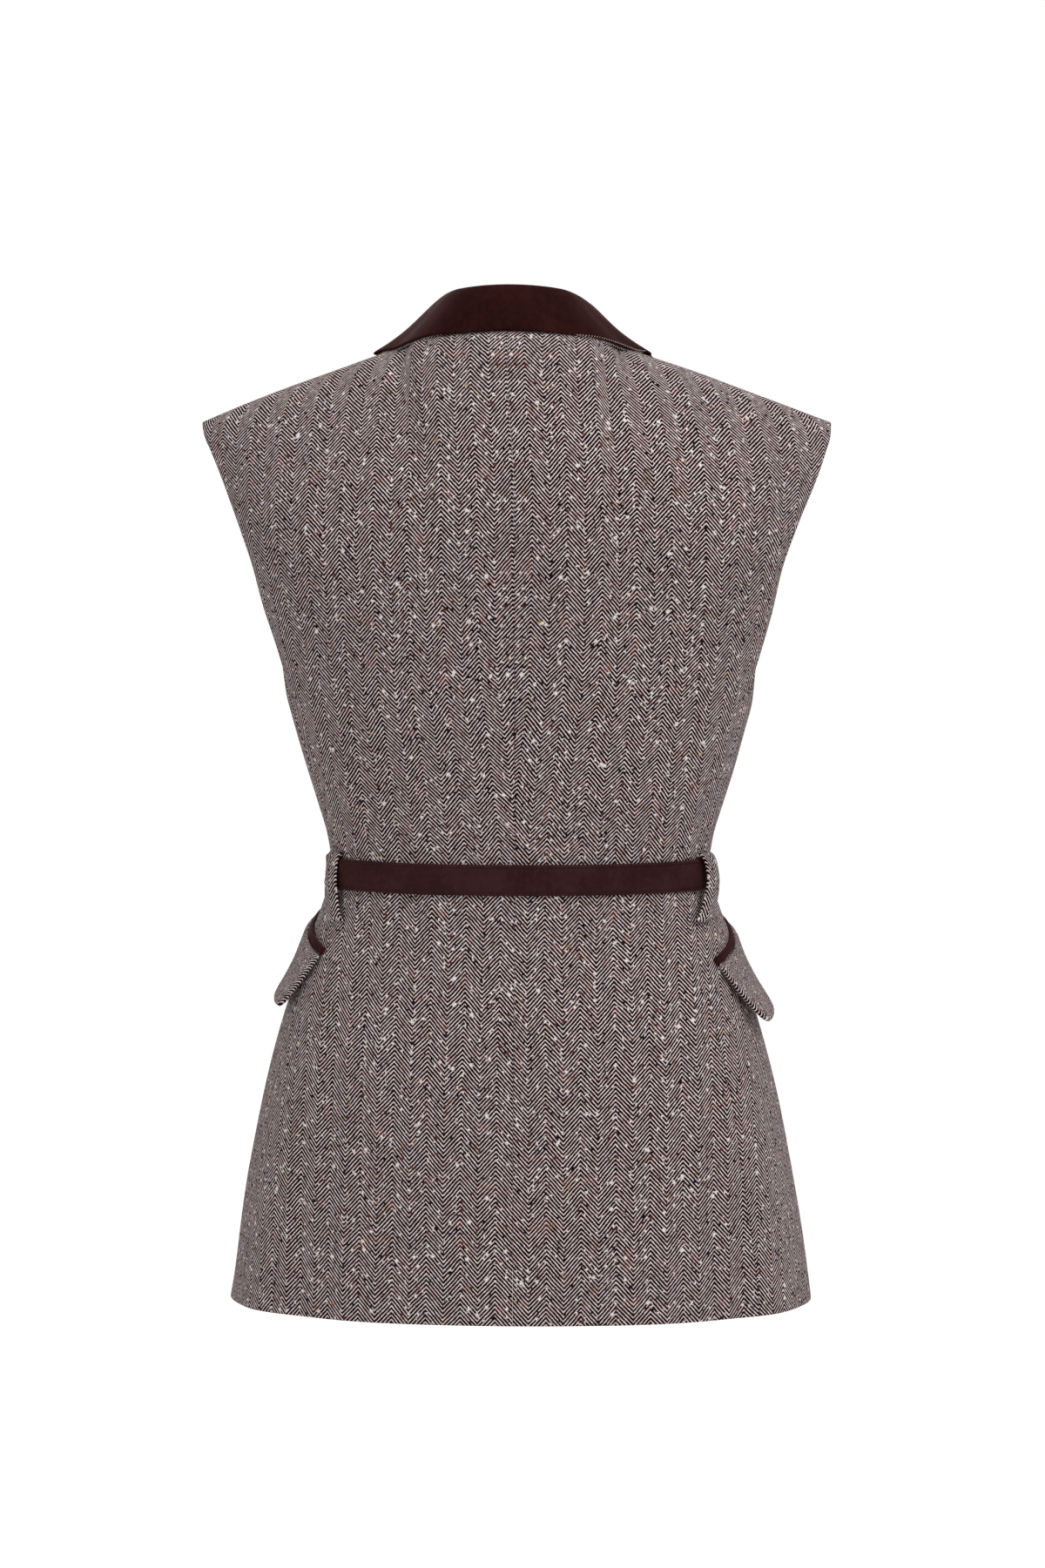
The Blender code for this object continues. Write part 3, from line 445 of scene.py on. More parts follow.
def herringbone_weave():
    """Cloth coordinates in metres to the colour and height of the twill's lines and its neps."""
    tree, given, made = group(
        "donegal_herringbone",
        (("Cloth", "Vector", None), ("Column", "Float", COLUMN), ("Twill", "Float", 0.0030),
         ("Peak", "Float", PEAK), ("Steepness", "Float", 1.12)),
        (("Colour", "Color"), ("Height", "Float")),
    )
    cloth, column, twill, peak, steep = given.outputs[:5]
    parts = node(tree, "ShaderNodeSeparateXYZ", cloth)
    across, along = parts.outputs[0], parts.outputs[1]

    def noise(scale, detail=2.0, roughness=0.5, stretch=None):
        place = cloth
        if stretch:
            place = node(tree, "ShaderNodeMapping", cloth, None, None, stretch).outputs[0]
        return node(tree, "ShaderNodeTexNoise", place, None, scale, detail, roughness, noise_dimensions="2D")

    # the columns' edges wander a little, as the cloth was pressed and cut by hand
    drift = sums(tree, "MULTIPLY", sums(tree, "SUBTRACT", noise(14.0).outputs[0], 0.5), 0.0022)
    column_at = sums(tree, "PINGPONG", sums(tree, "SUBTRACT", sums(tree, "ADD", across, drift), peak), column)
    yarn = 0.00076
    stepped = sums(tree, "MULTIPLY", sums(tree, "FLOOR", sums(tree, "DIVIDE", column_at, yarn)), yarn)
    slope = sums(tree, "ADD", sums(tree, "MULTIPLY", column_at, 0.75), sums(tree, "MULTIPLY", stepped, 0.25))
    line = sums(tree, "ADD", along, sums(tree, "MULTIPLY", slope, steep))
    waver = sums(tree, "MULTIPLY", sums(tree, "SUBTRACT", noise(420.0, 3.0, 0.6).outputs[0], 0.5), 0.00045)
    waver_slow = sums(tree, "MULTIPLY", sums(tree, "SUBTRACT", noise(60.0).outputs[0], 0.5), 0.0016)
    line = sums(tree, "ADD", line, sums(tree, "ADD", waver, waver_slow))
    phase = sums(tree, "PINGPONG", sums(tree, "DIVIDE", line, twill), 0.5)
    fleck = noise(900.0, 2.0, 0.7).outputs[0]
    level = sums(tree, "ADD", sums(tree, "MULTIPLY", phase, 2.0),
                 sums(tree, "MULTIPLY", sums(tree, "SUBTRACT", fleck, 0.5), 0.30))
    clumps = sums(tree, "SUBTRACT", noise(310.0, 3.0, 0.65).outputs[0], 0.5)
    clumps = sums(tree, "MULTIPLY", clumps, 0.60)
    level = sums(tree, "ADD", level, clumps)
    light = ramp(tree, level, 0.0, 1.0, 0.59, 0.73)

    # yarns of uneven colour: ecru, pinkish and sandy lights, black, navy and rust darks
    hue = noise(260.0, 2.0, 0.6, (1.0, 0.35, 1.0)).outputs[0]
    pinkness = ramp(tree, hue, 0.0, 1.0, 0.42, 0.62)
    pale = tint(tree, pinkness, (0.86, 0.665, 0.665, 1), (0.99, 0.86, 0.86, 1))
    sandy = ramp(tree, noise(95.0, 3.0, 0.7).outputs[0], 0.0, 0.75, 0.60, 0.74)
    pale = tint(tree, sandy, pale, (0.62, 0.42, 0.30, 1))
    fadedness = ramp(tree, hue, 0.0, 1.0, 0.45, 0.70)
    dark = tint(tree, fadedness, (0.0070, 0.0026, 0.0028, 1), (0.022, 0.0080, 0.0074, 1))
    rust = ramp(tree, noise(70.0, 3.0, 0.7).outputs[0], 0.0, 0.85, 0.58, 0.72)
    dark = tint(tree, rust, dark, (0.105, 0.030, 0.018, 1))
    colour = tint(tree, light, dark, pale)

    # neps: little blobs of fibre, thick enough to stand out
    warped = node(tree, "ShaderNodeVectorMath", cloth, node(
        tree, "ShaderNodeVectorMath", noise(420.0, 3.0, 0.7).outputs[1], (0.0032, 0.0040, 0.0),
        operation="MULTIPLY").outputs[0], operation="ADD").outputs[0]
    height_of_nep = None
    for scale, share, size, tone in (
        (82.0, 0.110, 0.115, (1.0, 0.96, 0.92, 1)),
        (150.0, 0.13, 0.160, (1.0, 0.93, 0.89, 1)),
        (260.0, 0.18, 0.200, (0.95, 0.85, 0.81, 1)),
        (170.0, 0.10, 0.190, (0.120, 0.034, 0.026, 1)),
        (105.0, 0.085, 0.130, (0.007, 0.005, 0.010, 1)),
        (220.0, 0.13, 0.210, (0.007, 0.005, 0.010, 1)),
        (90.0, 0.018, 0.090, (0.42, 0.25, 0.08, 1)),
    ):
        shifted = node(tree, "ShaderNodeMapping", warped, (scale * 0.013, scale * 0.007, 0.0)).outputs[0]
        cells = node(tree, "ShaderNodeTexVoronoi", shifted, None, scale, voronoi_dimensions="2D")
        lot = node(tree, "ShaderNodeSeparateXYZ", cells.outputs[1]).outputs[0]
        chosen = sums(tree, "LESS_THAN", lot, share)
        spot = ramp(tree, cells.outputs[0], 1.0, 0.0, size * 0.6, size * 1.2)
        spot = sums(tree, "MULTIPLY", spot, chosen)
        colour = tint(tree, spot, colour, tone)
        height_of_nep = spot if height_of_nep is None else sums(tree, "MAXIMUM", height_of_nep, spot)

    # single floats of yarn across each line, and loose fibre over them
    fibre = noise(2600.0, 3.0, 0.7).outputs[0]
    colour_fibre = tint(tree, ramp(tree, fibre, 0.0, 0.04, 0.50, 0.85), colour, (0.46, 0.38, 0.36, 1))
    height = sums(tree, "ADD", sums(tree, "MULTIPLY", light, 0.55), sums(tree, "MULTIPLY", fibre, 0.5))
    height = sums(tree, "ADD", height, sums(tree, "MULTIPLY", height_of_nep, 0.8))
    tree.links.new(colour_fibre, made.inputs[0])
    tree.links.new(height, made.inputs[1])
    return tree


def surface(name, roughness):
    """A material with its Principled shader."""
    material = bpy.data.materials.new(name)
    material.use_nodes = True
    shader = material.node_tree.nodes["Principled BSDF"]
    shader.inputs["Roughness"].default_value = roughness
    return material, material.node_tree, shader


weave = herringbone_weave()


def tweed_cloth(name, column=COLUMN, twill=0.0030, painted_shade=0.0):
    """Woollen herringbone tweed: matt, with a soft nap that catches light at its edges."""
    material, tree, shader = surface(name, 0.92)
    made = node(tree, "ShaderNodeGroup", node_tree=weave)
    tree.links.new(node(tree, "ShaderNodeUVMap", uv_map="Cloth").outputs[0], made.inputs["Cloth"])
    made.inputs["Column"].default_value = column
    made.inputs["Twill"].default_value = twill
    colour = made.outputs["Colour"]
    # painted shade: mixes the weave's colour this far towards near-black, to stand for shade falling on the
    # cloth
    if painted_shade:
        colour = tint(tree, painted_shade, colour, (0.02, 0.012, 0.011, 1))
    tree.links.new(colour, shader.inputs["Base Color"])
    bump = node(tree, "ShaderNodeBump", 0.55, 0.0005, None, made.outputs["Height"])
    tree.links.new(bump.outputs[0], shader.inputs["Normal"])
    shader.inputs["Specular IOR Level"].default_value = 0.08
    shader.inputs["Sheen Weight"].default_value = 0.03
    shader.inputs["Sheen Roughness"].default_value = 0.55
    shader.inputs["Sheen Tint"].default_value = (0.80, 0.74, 0.72, 1)
    return material


tweed = tweed_cloth("donegal_tweed")


def mirrored(grid, side):
    return grid * np.array((side, 1.0, 1.0))


def fit(piece, stands_for, material):
    """Gives a piece its material and its place in the frame."""
    piece.data.materials.append(material)
    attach(piece, "root")
    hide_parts(stands_for)


def hang(piece, stands_for, material):
    """Fits a piece: gives it its material and its place in the frame."""
    fit(piece, stands_for, material)


LEFT, RIGHT = 1, -1
parts_back = spread(52, BACK_EDGE)
shares_back = CHEST.at(parts_back * BACK_EDGE)[:, 0] / CHEST.at(BACK_EDGE)[0]
back_rows, back_across = [], []
for z in SKIRT_Z:
    ring = Ring(z)
    lengths = SEAM / 2 + (ring.seam("side_back") - SEAM) * parts_back
    back_rows.append(ring.at(lengths))
    back_across.append(lengths)
WELL = np.linspace(0.70, 0.0, 27)
YOKE_T = np.concatenate((np.linspace(0, 0.8, 37)[1:], (1 - WELL ** (1 / 0.36)) ** (1 / SHOULDER_ROUND)))
for t in YOKE_T:
    row = yoke_back(shares_back, t)
    row[0, 0] = SEAM / 2
    row[:, 1] += 0.0002 * ease((t - 0.98) / 0.02)
    back_rows.append(row)
    steps = np.linalg.norm(np.diff(row[:, :2], axis=0), axis=-1)
    back_across.append(np.concatenate(([SEAM / 2], SEAM / 2 + np.cumsum(steps))))
back_grid, back_across = np.array(back_rows), np.array(back_across)
back_across = back_across + smooth(TAKEN_IN, 1, back_grid[:, :1, 2])
for side, name in ((LEFT, "back_left"), (RIGHT, "back_right")):
    grid = mirrored(back_grid, side)
    across = back_across if side == RIGHT else COLUMN - back_across
    piece = cloth_piece(name + "_cloth", worn(grid, (0, 1, 0)), cloth_uv(grid, across), (0, 1, 0))
    hang(piece, name, tweed)

# ---- Side panels
# A narrow tweed panel under each arm, between the back and the front. Its top edge is the
# bottom of the armhole, and it carries the pocket flap.

ARMHOLE_DIP = 0.034
parts_side = spread(44, 0.14)
side_rows, side_across = [], []
for z in SKIRT_Z:
    way = (z - HEM_Z) / (ARMHOLE_Z - HEM_Z)
    lows = z - ARMHOLE_DIP * np.sin(np.pi * parts_side) ** 0.7 * way**2
    turns, lengths = [], []
    for share, low in zip(parts_side, lows):
        ring = Ring(low)
        start, end = ring.seam("side_back") + SEAM / 2, ring.seam("side_front") - SEAM / 2
        lengths.append(start + (end - start) * share)
        turns.append(ring.turn(lengths[-1]))
    side_rows.append(body_point(np.array(turns), lows))
    side_across.append(lengths)
side_grid, side_across = np.array(side_rows), np.array(side_across)
for side, name in ((LEFT, "side_left"), (RIGHT, "side_right")):
    grid = mirrored(side_grid, side)
    uv = cloth_uv(grid, -side * side_across)
    piece = cloth_piece(name + "_cloth", worn(grid, (side, 0, 0)), uv, (side, 0, 0))
    hang(piece, name, tweed)

# ---- Fronts
# Two tweed fronts that close right over left, cut to a deep V at the neck. The right one
# lies on the left and eases back to the body away from the centre.

LAY = 0.0005
OVERLAP_LIFT = CLOTH + LAY + 0.0003
OVERLAP_RAMP = (0.024, 0.070)


def lap_lift(half):
    near, far = OVERLAP_RAMP
    return OVERLAP_LIFT * (1 - ease((half - near) / (far - near)))


parts_front = spread(58, 0.19)
for side, name in ((RIGHT, "front_right"), (LEFT, "front_left")):
    rows, across = [], []
    for z in SKIRT_Z:
        ring = Ring(z)
        start, end = float(ring.length(1.0)) + OVERLAP, ring.seam("side_front") + SEAM / 2
        lengths = start + (end - start) * parts_front
        row = ring.at(lengths)
        tangent = unit(ring.at(lengths + 0.001) - ring.at(lengths - 0.001))
        out = np.stack((-tangent[:, 1], tangent[:, 0], np.zeros(len(row))), axis=-1)
        lift = lap_lift(row[:, 0]) if side == RIGHT else np.zeros(len(row))
        rows.append(row + out * (lift * np.sign((out * row).sum(axis=1)))[:, None])
        across.append(start - lengths)
    for t in YOKE_T:
        row = yoke_front(parts_front, t)
        lift = lap_lift(row[:, 0]) if side == RIGHT else 0.0
        row[:, 1] -= lift + 0.0002 * float(ease((t - 0.98) / 0.02))
        rows.append(row)
        across.append(across[len(SKIRT_Z) - 1])
    grid, across = mirrored(np.array(rows), side), np.array(across)
    piece = cloth_piece(name + "_cloth", worn(grid, (0, -1, 0)), cloth_uv(grid, side * across), (0, -1, 0))
    hang(piece, name, tweed)

# ---- Collar
# A shawl collar in one piece of smooth dark leather, sewn into the neck, standing up inside,
# rolled over and falling on the shoulders. It narrows down the fronts to nothing.

LEATHER = 0.0017
COLLAR_TOP_Z, COLLAR_TOP_Y = 0.0492, 0.058
COLLAR_SIDE_HALF, COLLAR_SIDE_Z = 0.0500, 0.0350
COLLAR_ARCH = 0.85
COLLAR_ROLL = 0.0036
COLLAR_STAND_END = 0.005
FALL_CENTRE_Y = 0.0711
FALL_BEND = (0.75, 2.5)
FALL_SIDE_HALF = 0.0945
FALL_FRONT, FALL_END = 0.044, 0.012
FALL_SWELL, FALL_HOLLOW = 0.0018, 0.0028
COLLAR_END = 0.30
COLLAR_BACK_STATIONS, COLLAR_FRONT_STATIONS = 8, 11
COLLAR_EVENING = 3
FALL_AIR = (0.0003, 0.0029)


def yoke_normal(yoke, share, t, out_y):
    low_s, high_s = max(share - 0.01, 0.0), min(share + 0.01, 1.0)
    low_t, high_t = max(t - 0.01, 0.0), min(t + 0.002, 0.9995)
    normal = unit(np.cross(yoke(high_s, t) - yoke(low_s, t), yoke(share, high_t) - yoke(share, low_t)))
    return normal if normal[1] * out_y > 0 else -normal


def find_on(yoke, half, z):
    t = 0.9
    for _ in range(12):
        low, high = 0.0, 1.0
        for _ in range(24):
            share = (low + high) / 2
            if yoke(share, t)[0] < half:
                low = share
            else:
                high = share
        t = min(t * (z - ARMHOLE_Z) / (yoke(share, t)[2] - ARMHOLE_Z), 0.9995)
    return share, t


def find_depth(yoke, half, y):
    low, high = 0.5, 1.0
    for _ in range(24):
        t = (low + high) / 2
        share = half / yoke(1.0, t)[0]
        if yoke(share, t)[1] > y:
            low = t
        else:
            high = t
    return share, t


def cloth_out(yoke, share, t, out_y):
    half = yoke(share, t)[0]
    ridge = np.array((0.36 * min(half / NECK_HALF, 1.0), 0.25 * out_y, 0.93))
    near = float(ease((t - 0.93) / 0.07))
    return unit(yoke_normal(yoke, share, min(t, 0.97), out_y) * (1 - near) + ridge * near)


def back_station(share):
    """Neck point, roll, fall edge, way out, bow and air, from the centre back to the shoulder."""
    across, along = math.sin(share * math.pi / 2), max(math.cos(share * math.pi / 2), 0.0)
    neck_y, neck_z = back_top(NECK_HALF * across)
    neck = np.array((NECK_HALF * across, neck_y, neck_z))
    roll_z = COLLAR_SIDE_Z + (COLLAR_TOP_Z - COLLAR_SIDE_Z) * along**COLLAR_ARCH
    roll = np.array((COLLAR_SIDE_HALF * across, COLLAR_TOP_Y * along, roll_z))
    half = FALL_SIDE_HALF * across
    if share == 1:
        out = unit(np.array((0.36, 0.0, 0.93)))
        return neck, roll, np.array((half, 0.0, shoulder_z(half))), out, -FALL_HOLLOW, FALL_AIR[0]
    bend = FALL_BEND[0] + (FALL_BEND[1] - FALL_BEND[0]) * across**2
    place, t = find_depth(yoke_back, half, FALL_CENTRE_Y * along**bend)
    swell = FALL_SWELL * along - FALL_HOLLOW * across**2
    return neck, roll, yoke_back(place, t), cloth_out(yoke_back, place, t, 1), swell, FALL_AIR[0]


def front_station(share):
    """The same from the shoulder seam down the front's edge to the collar's end."""
    t = 1 - (1 - COLLAR_END) * share**2.2
    out = cloth_out(yoke_front, 0.02, t, -1)
    edge = yoke_front(0.0, t)
    neck = edge + out * lap_lift(edge[0])
    width = FALL_SIDE_HALF - NECK_HALF
    width += (FALL_FRONT - width) * ease(share / 0.55) - (FALL_FRONT - FALL_END) * share**3
    place, fall_t = find_on(yoke_front, edge[0] + 0.93 * width, edge[2] - 0.36 * width)
    fall = yoke_front(place, fall_t)
    fall_out = cloth_out(yoke_front, place, fall_t, -1)
    flat = float(ease(share / 0.6))
    stand = np.array((COLLAR_SIDE_HALF - NECK_HALF, 0.0, COLLAR_SIDE_Z - NECK_Z))
    aim = unit(unit(stand) * (1 - flat) + (out - unit(fall - edge) * 0.3) * flat)
    roll = neck + aim * (np.linalg.norm(stand) * (1 - flat) + COLLAR_STAND_END * flat)
    swell = FALL_SWELL / 2 * flat - FALL_HOLLOW * (1 - flat)
    air = FALL_AIR[0] + (FALL_AIR[1] - FALL_AIR[0]) * ease(share / 0.4)
    return neck, roll, fall + fall_out * lap_lift(fall[0]), fall_out, swell, air


def collar_stations():
    back = [back_station(i / COLLAR_BACK_STATIONS) for i in range(COLLAR_BACK_STATIONS + 1)]
    stations = back + [front_station(i / COLLAR_FRONT_STATIONS) for i in range(1, COLLAR_FRONT_STATIONS + 1)]
    for _ in range(COLLAR_EVENING):
        before = [[part * np.array((-1, 1, 1)) for part in stations[1][:4]]] + stations[:-2]
        evened = []
        for last, station, following in zip(before, stations, stations[1:]):
            neck, roll, fall, out, swell, air = station
            roll = (last[1] + roll * 2 + following[1]) / 4
            out = unit(last[3] + out * 2 + following[3])
            evened.append((neck, roll, fall, out, swell, air))
        stations = evened + stations[-1:]
    return stations


def collar_section(station):
    """One section, from the neck up over the roll and down to the fall's edge."""
    neck, roll, fall, out, swell, air = station
    edge = fall + out * (CLOTH / 2 + LAY + LEATHER / 2 + air)
    up = unit(roll - neck)
    across = edge - neck
    across = unit(across - up * np.dot(across, up))
    drop = min(0.004, np.linalg.norm(roll - neck) * 0.5)
    lifted = neck + up * (LEATHER / 2 + LAY)
    inside = roll - across * COLLAR_ROLL - up * drop
    outside = roll + across * COLLAR_ROLL - up * drop
    middle = (outside + edge) / 2 + unit(across + up) * swell
    return [lifted, (lifted + inside) / 2, inside, roll, outside, middle, edge]


def refined(grid, by_rows, by_columns):
    """A smooth grid through the points of a coarse one."""
    def along(points, by):
        ends = np.concatenate((2 * points[:1] - points[1:2], points, 2 * points[-1:] - points[-2:-1]))
        made = []
        for i in range(len(points) - 1):
            a, b, c, d = ends[i], ends[i + 1], ends[i + 2], ends[i + 3]
            for t in np.arange(by) / by:
                made.append(0.5 * (2 * b + (c - a) * t + (2 * a - 5 * b + 4 * c - d) * t**2
                                   + (3 * b - a - 3 * c + d) * t**3))
        return np.array(made + [points[-1]])
    return along(along(grid, by_rows).swapaxes(0, 1), by_columns).swapaxes(0, 1)


def edged(grid, near=(0.0004, 0.0012)):
    """The grid with two more lines close to each edge, for its turned or cut edge."""
    for _ in range(2):
        for _ in range(2):
            way = grid[1] - grid[0]
            far = np.linalg.norm(way, axis=-1, keepdims=True)
            close = [grid[0] + way * np.minimum(step / far, 0.4) for step in near]
            grid = np.concatenate((grid[:1], np.array(close), grid[1:]))[::-1]
        grid = grid.swapaxes(0, 1)
    return grid


def plain_uv(grid):
    """Lengths across and along a small piece, in metres."""
    def run(points):
        steps = np.linalg.norm(np.diff(points, axis=0), axis=-1).mean(axis=1)
        return np.concatenate(([0.0], np.cumsum(steps)))
    along, across = run(grid), run(grid.swapaxes(0, 1))
    return np.stack(np.meshgrid(across, along), axis=-1)


def both_sides(sections):
    flipped = [[point * np.array((-1, 1, 1)) for point in section] for section in sections[:0:-1]]
    return np.array(flipped + sections)


def fine_leather(name, colour, lighter, roughness=0.52):
    """Smooth dyed leather: fine pores, soft wrinkles and a slightly uneven, rubbed dye."""
    material, tree, shader = surface(name, roughness)
    place = node(tree, "ShaderNodeTexCoord").outputs["Object"]
    cloud = node(tree, "ShaderNodeTexNoise", place, None, 38.0, 4.0, 0.6).outputs[0]
    brushed = node(tree, "ShaderNodeTexNoise", place, None, 260.0, 3.0, 0.65).outputs[0]
    pores = node(tree, "ShaderNodeTexVoronoi", place, None, 1500.0)
    mottled = sums(tree, "ADD", sums(tree, "MULTIPLY", cloud, 0.6), sums(tree, "MULTIPLY", brushed, 0.4))
    shade = tint(tree, ramp(tree, mottled, 0.0, 1.0, 0.38, 0.66), colour, lighter)
    pore = ramp(tree, pores.outputs[0], 0.55, 0.0, 0.0, 0.5)
    tree.links.new(tint(tree, sums(tree, "MULTIPLY", pore, 0.25), shade, (0.006, 0.002, 0.002, 1)),
                   shader.inputs["Base Color"])
    rubbed = ramp(tree, mottled, roughness - 0.05, roughness + 0.10, 0.3, 0.7)
    tree.links.new(rubbed, shader.inputs["Roughness"])
    deep = sums(tree, "MULTIPLY", pores.outputs[0], 0.6)
    grain = sums(tree, "ADD", deep, sums(tree, "MULTIPLY", brushed, 0.8))
    bump = node(tree, "ShaderNodeBump", 0.22, 0.0003)
    tree.links.new(grain, bump.inputs["Height"])
    tree.links.new(bump.outputs[0], shader.inputs["Normal"])
    shader.inputs["Specular IOR Level"].default_value = 0.03
    shader.inputs["Sheen Weight"].default_value = 0.11
    shader.inputs["Sheen Roughness"].default_value = 0.45
    shader.inputs["Sheen Tint"].default_value = (0.80, 0.34, 0.32, 1)
    return material


collar_leather = fine_leather("collar_leather", (0.0225, 0.0046, 0.0040, 1), (0.038, 0.0090, 0.0080, 1), 0.66)
stations = collar_stations()
sections = both_sides([collar_section(station) for station in stations])
grid = edged(refined(sections, 8, 6))
piece = cloth_piece("collar_leather_piece", grid, plain_uv(grid), (0, -1, 0.2), LEATHER, edge=0.3)
hang(piece, "collar", collar_leather)

# ---- Under-collar
# The tweed layer under the fall of the collar, stitched to the leather a little inside its edge.
# A beaded sliver of its turned edge shows below the leather at the sides of the neck.

UNDER_COLLAR = 0.0008
UNDER_START = 0.7


def under_section(station):
    """From below the roll to the fall's edge, past it at the sides."""
    top = collar_section(station)
    along = unit(top[6] - top[4])
    out = station[3]
    inward = unit(along * np.dot(out, along) - out) * (LEATHER / 2 + 0.0002 + UNDER_COLLAR / 2)
    half = abs(station[0][0])
    shows = 0.0016 * ease((half - 0.028) / 0.020) - 0.0030 * (1 - ease((half - 0.020) / 0.020))
    shows = shows if station[2][1] > 0.004 else -0.0030
    start = top[4] + (top[5] - top[4]) * UNDER_START
    end = top[6] + along * shows
    return [start + inward, top[5] + inward, (top[5] + end) / 2 + inward, end + inward * 0.8]


under = both_sides([under_section(station) for station in stations[:-2]])
grid = edged(refined(under, 8, 4), (0.0003, 0.0008))
piece = cloth_piece("under_collar_cloth", grid, plain_uv(grid), (0, 1, 1), UNDER_COLLAR)
# the under-collar keeps the tweed's real herringbone colours, darkened by 0.30 as painted shade for the shade
# under the collar's fall
under_tweed_painted_shade = tweed_cloth("collar_edge_tweed_painted_shade", 0.0024, 0.0021, painted_shade=0.30)
hang(piece, "under_collar", under_tweed_painted_shade)

# ---- Belt
# A narrow strap of smooth brown leather with turned, stitched edges. It runs from the buckle
# round the waist, through both loops, and its rounded tip lies back over its own start.

BELT_THICK = 0.0026
BELT_WIDTH, BELT_LAP, BELT_TIP = 0.0210, 0.085, 0.014
BELT_OFF = CLOTH / 2 + LAY + BELT_THICK / 2 + 0.0003
BELT_STITCH_IN = 0.0021


def body_out(turn, z):
    """The way out of the body at these turns and heights."""
    turn = np.clip(turn, 0.01, 0.985)
    along = body_point(turn + 0.004, z) - body_point(turn - 0.004, z)
    up = body_point(turn, z + 0.002) - body_point(turn, z - 0.002)
    return unit(np.cross(up, along))


def belt_points(turn, up, off):
    """Points of the belt, from -1 to past 1 round the waist, this far up and off its middle."""
    place = np.where(turn <= 1, np.abs(turn), 2 - turn)
    side = np.where((turn >= 0) & (turn <= 1), LEFT, RIGHT)
    lift = np.where(place > 0.5, lap_lift(np.abs(body_point(place, WAIST_Z)[..., 0])), 0.0)
    out = BELT_OFF + lift + (BELT_THICK + LAY + 0.0004) * ease((turn - 0.93) / 0.035) + off
    z = WAIST_Z + up
    points = body_point(place, z) + body_out(place, z) * out[..., None]
    return np.stack((points[..., 0] * side, points[..., 1], z), axis=-1)


waist_length = float(Ring(WAIST_Z).length(1.0))
belt_end = 1.0 + BELT_LAP / waist_length
near_tip = belt_end - 0.025 * np.linspace(1, 0, 16)[1:] ** 1.7
belt_turns = np.concatenate((np.linspace(-0.985, belt_end - 0.025, 470), near_tip))
to_tip = np.clip((belt_end - belt_turns) * waist_length / BELT_TIP, 0, 1)
belt_halves = BELT_WIDTH / 2 * (0.30 + 0.70 * np.sqrt(1 - (1 - to_tip) ** 2))
shares = np.sin(np.linspace(-1, 1, 23) * np.pi / 2) * 0.35 + np.linspace(-1, 1, 23) * 0.65
grid = belt_points(belt_turns[:, None] + 0 * shares, belt_halves[:, None] * shares, 0 * shares)
from_stitches = (1 - np.abs(shares)) * BELT_WIDTH / 2 - BELT_STITCH_IN
channel = np.exp(-((from_stitches / 0.0006) ** 2))
pillow = 0.00030 * (1 - shares**4) - 0.00028 * channel
buckled = 0.0009 * np.exp(-(((grid[..., 0] - 0.066) / 0.0055) ** 2)) * (grid[..., 1] > 0)
piece = cloth_piece("belt_strap", grid, plain_uv(grid), (0, 1, 0), BELT_THICK, edge=0.25,
                    raised=pillow + buckled)
belt_leather = fine_leather("belt_leather", (0.037, 0.0125, 0.0130, 1), (0.058, 0.0210, 0.0220, 1), 0.62)
hang(piece, "belt", belt_leather)


def stitch_run():
    """Stitches along paths: short bars of thread at an even pitch."""
    tree = bpy.data.node_groups.new("stitch_run", "GeometryNodeTree")
    for label, kind, value in (("Path", "Geometry", None), ("Pitch", "Float", 0.0024),
                               ("Length", "Float", 0.0017), ("Thick", "Float", 0.0005),
                               ("Thread", "Material", None)):
        socket = tree.interface.new_socket(label, in_out="INPUT", socket_type="NodeSocket" + kind)
        if value is not None:
            socket.default_value = value
    tree.interface.new_socket("Stitches", in_out="OUTPUT", socket_type="NodeSocketGeometry")
    given, made = tree.nodes.new("NodeGroupInput"), tree.nodes.new("NodeGroupOutput")
    curve = node(tree, "GeometryNodeMeshToCurve", given.outputs["Path"])
    even = node(tree, "GeometryNodeResampleCurve", curve.outputs[0], mode="LENGTH")
    tree.links.new(given.outputs["Pitch"], even.inputs["Length"])
    bar = node(tree, "GeometryNodeMeshUVSphere", 6, 5, 0.5)
    turned = node(tree, "FunctionNodeAlignRotationToVector", axis="X")
    tree.links.new(node(tree, "GeometryNodeInputTangent").outputs[0], turned.inputs["Vector"])
    thick = given.outputs["Thick"]
    size = node(tree, "ShaderNodeCombineXYZ", given.outputs["Length"], thick, thick)
    uneven = node(tree, "FunctionNodeRandomValue", data_type="FLOAT_VECTOR")
    uneven.inputs["Min"].default_value = (0.86, 0.9, 0.9)
    uneven.inputs["Max"].default_value = (1.08, 1.1, 1.1)
    uneven.inputs["Seed"].default_value = 11
    scale = node(tree, "ShaderNodeVectorMath", size.outputs[0], uneven.outputs[0], operation="MULTIPLY")
    placed = node(tree, "GeometryNodeInstanceOnPoints")
    for label, value in (("Points", even.outputs[0]), ("Instance", bar.outputs[0]),
                         ("Rotation", turned.outputs[0]), ("Scale", scale.outputs[0])):
        tree.links.new(value, placed.inputs[label])
    real = node(tree, "GeometryNodeRealizeInstances", placed.outputs[0])
    soft = node(tree, "GeometryNodeSetShadeSmooth", real.outputs[0])
    threaded = node(tree, "GeometryNodeSetMaterial", soft.outputs[0])
    tree.links.new(given.outputs["Thread"], threaded.inputs["Material"])
    tree.links.new(threaded.outputs[0], made.inputs[0])
    return tree


stitching = stitch_run()


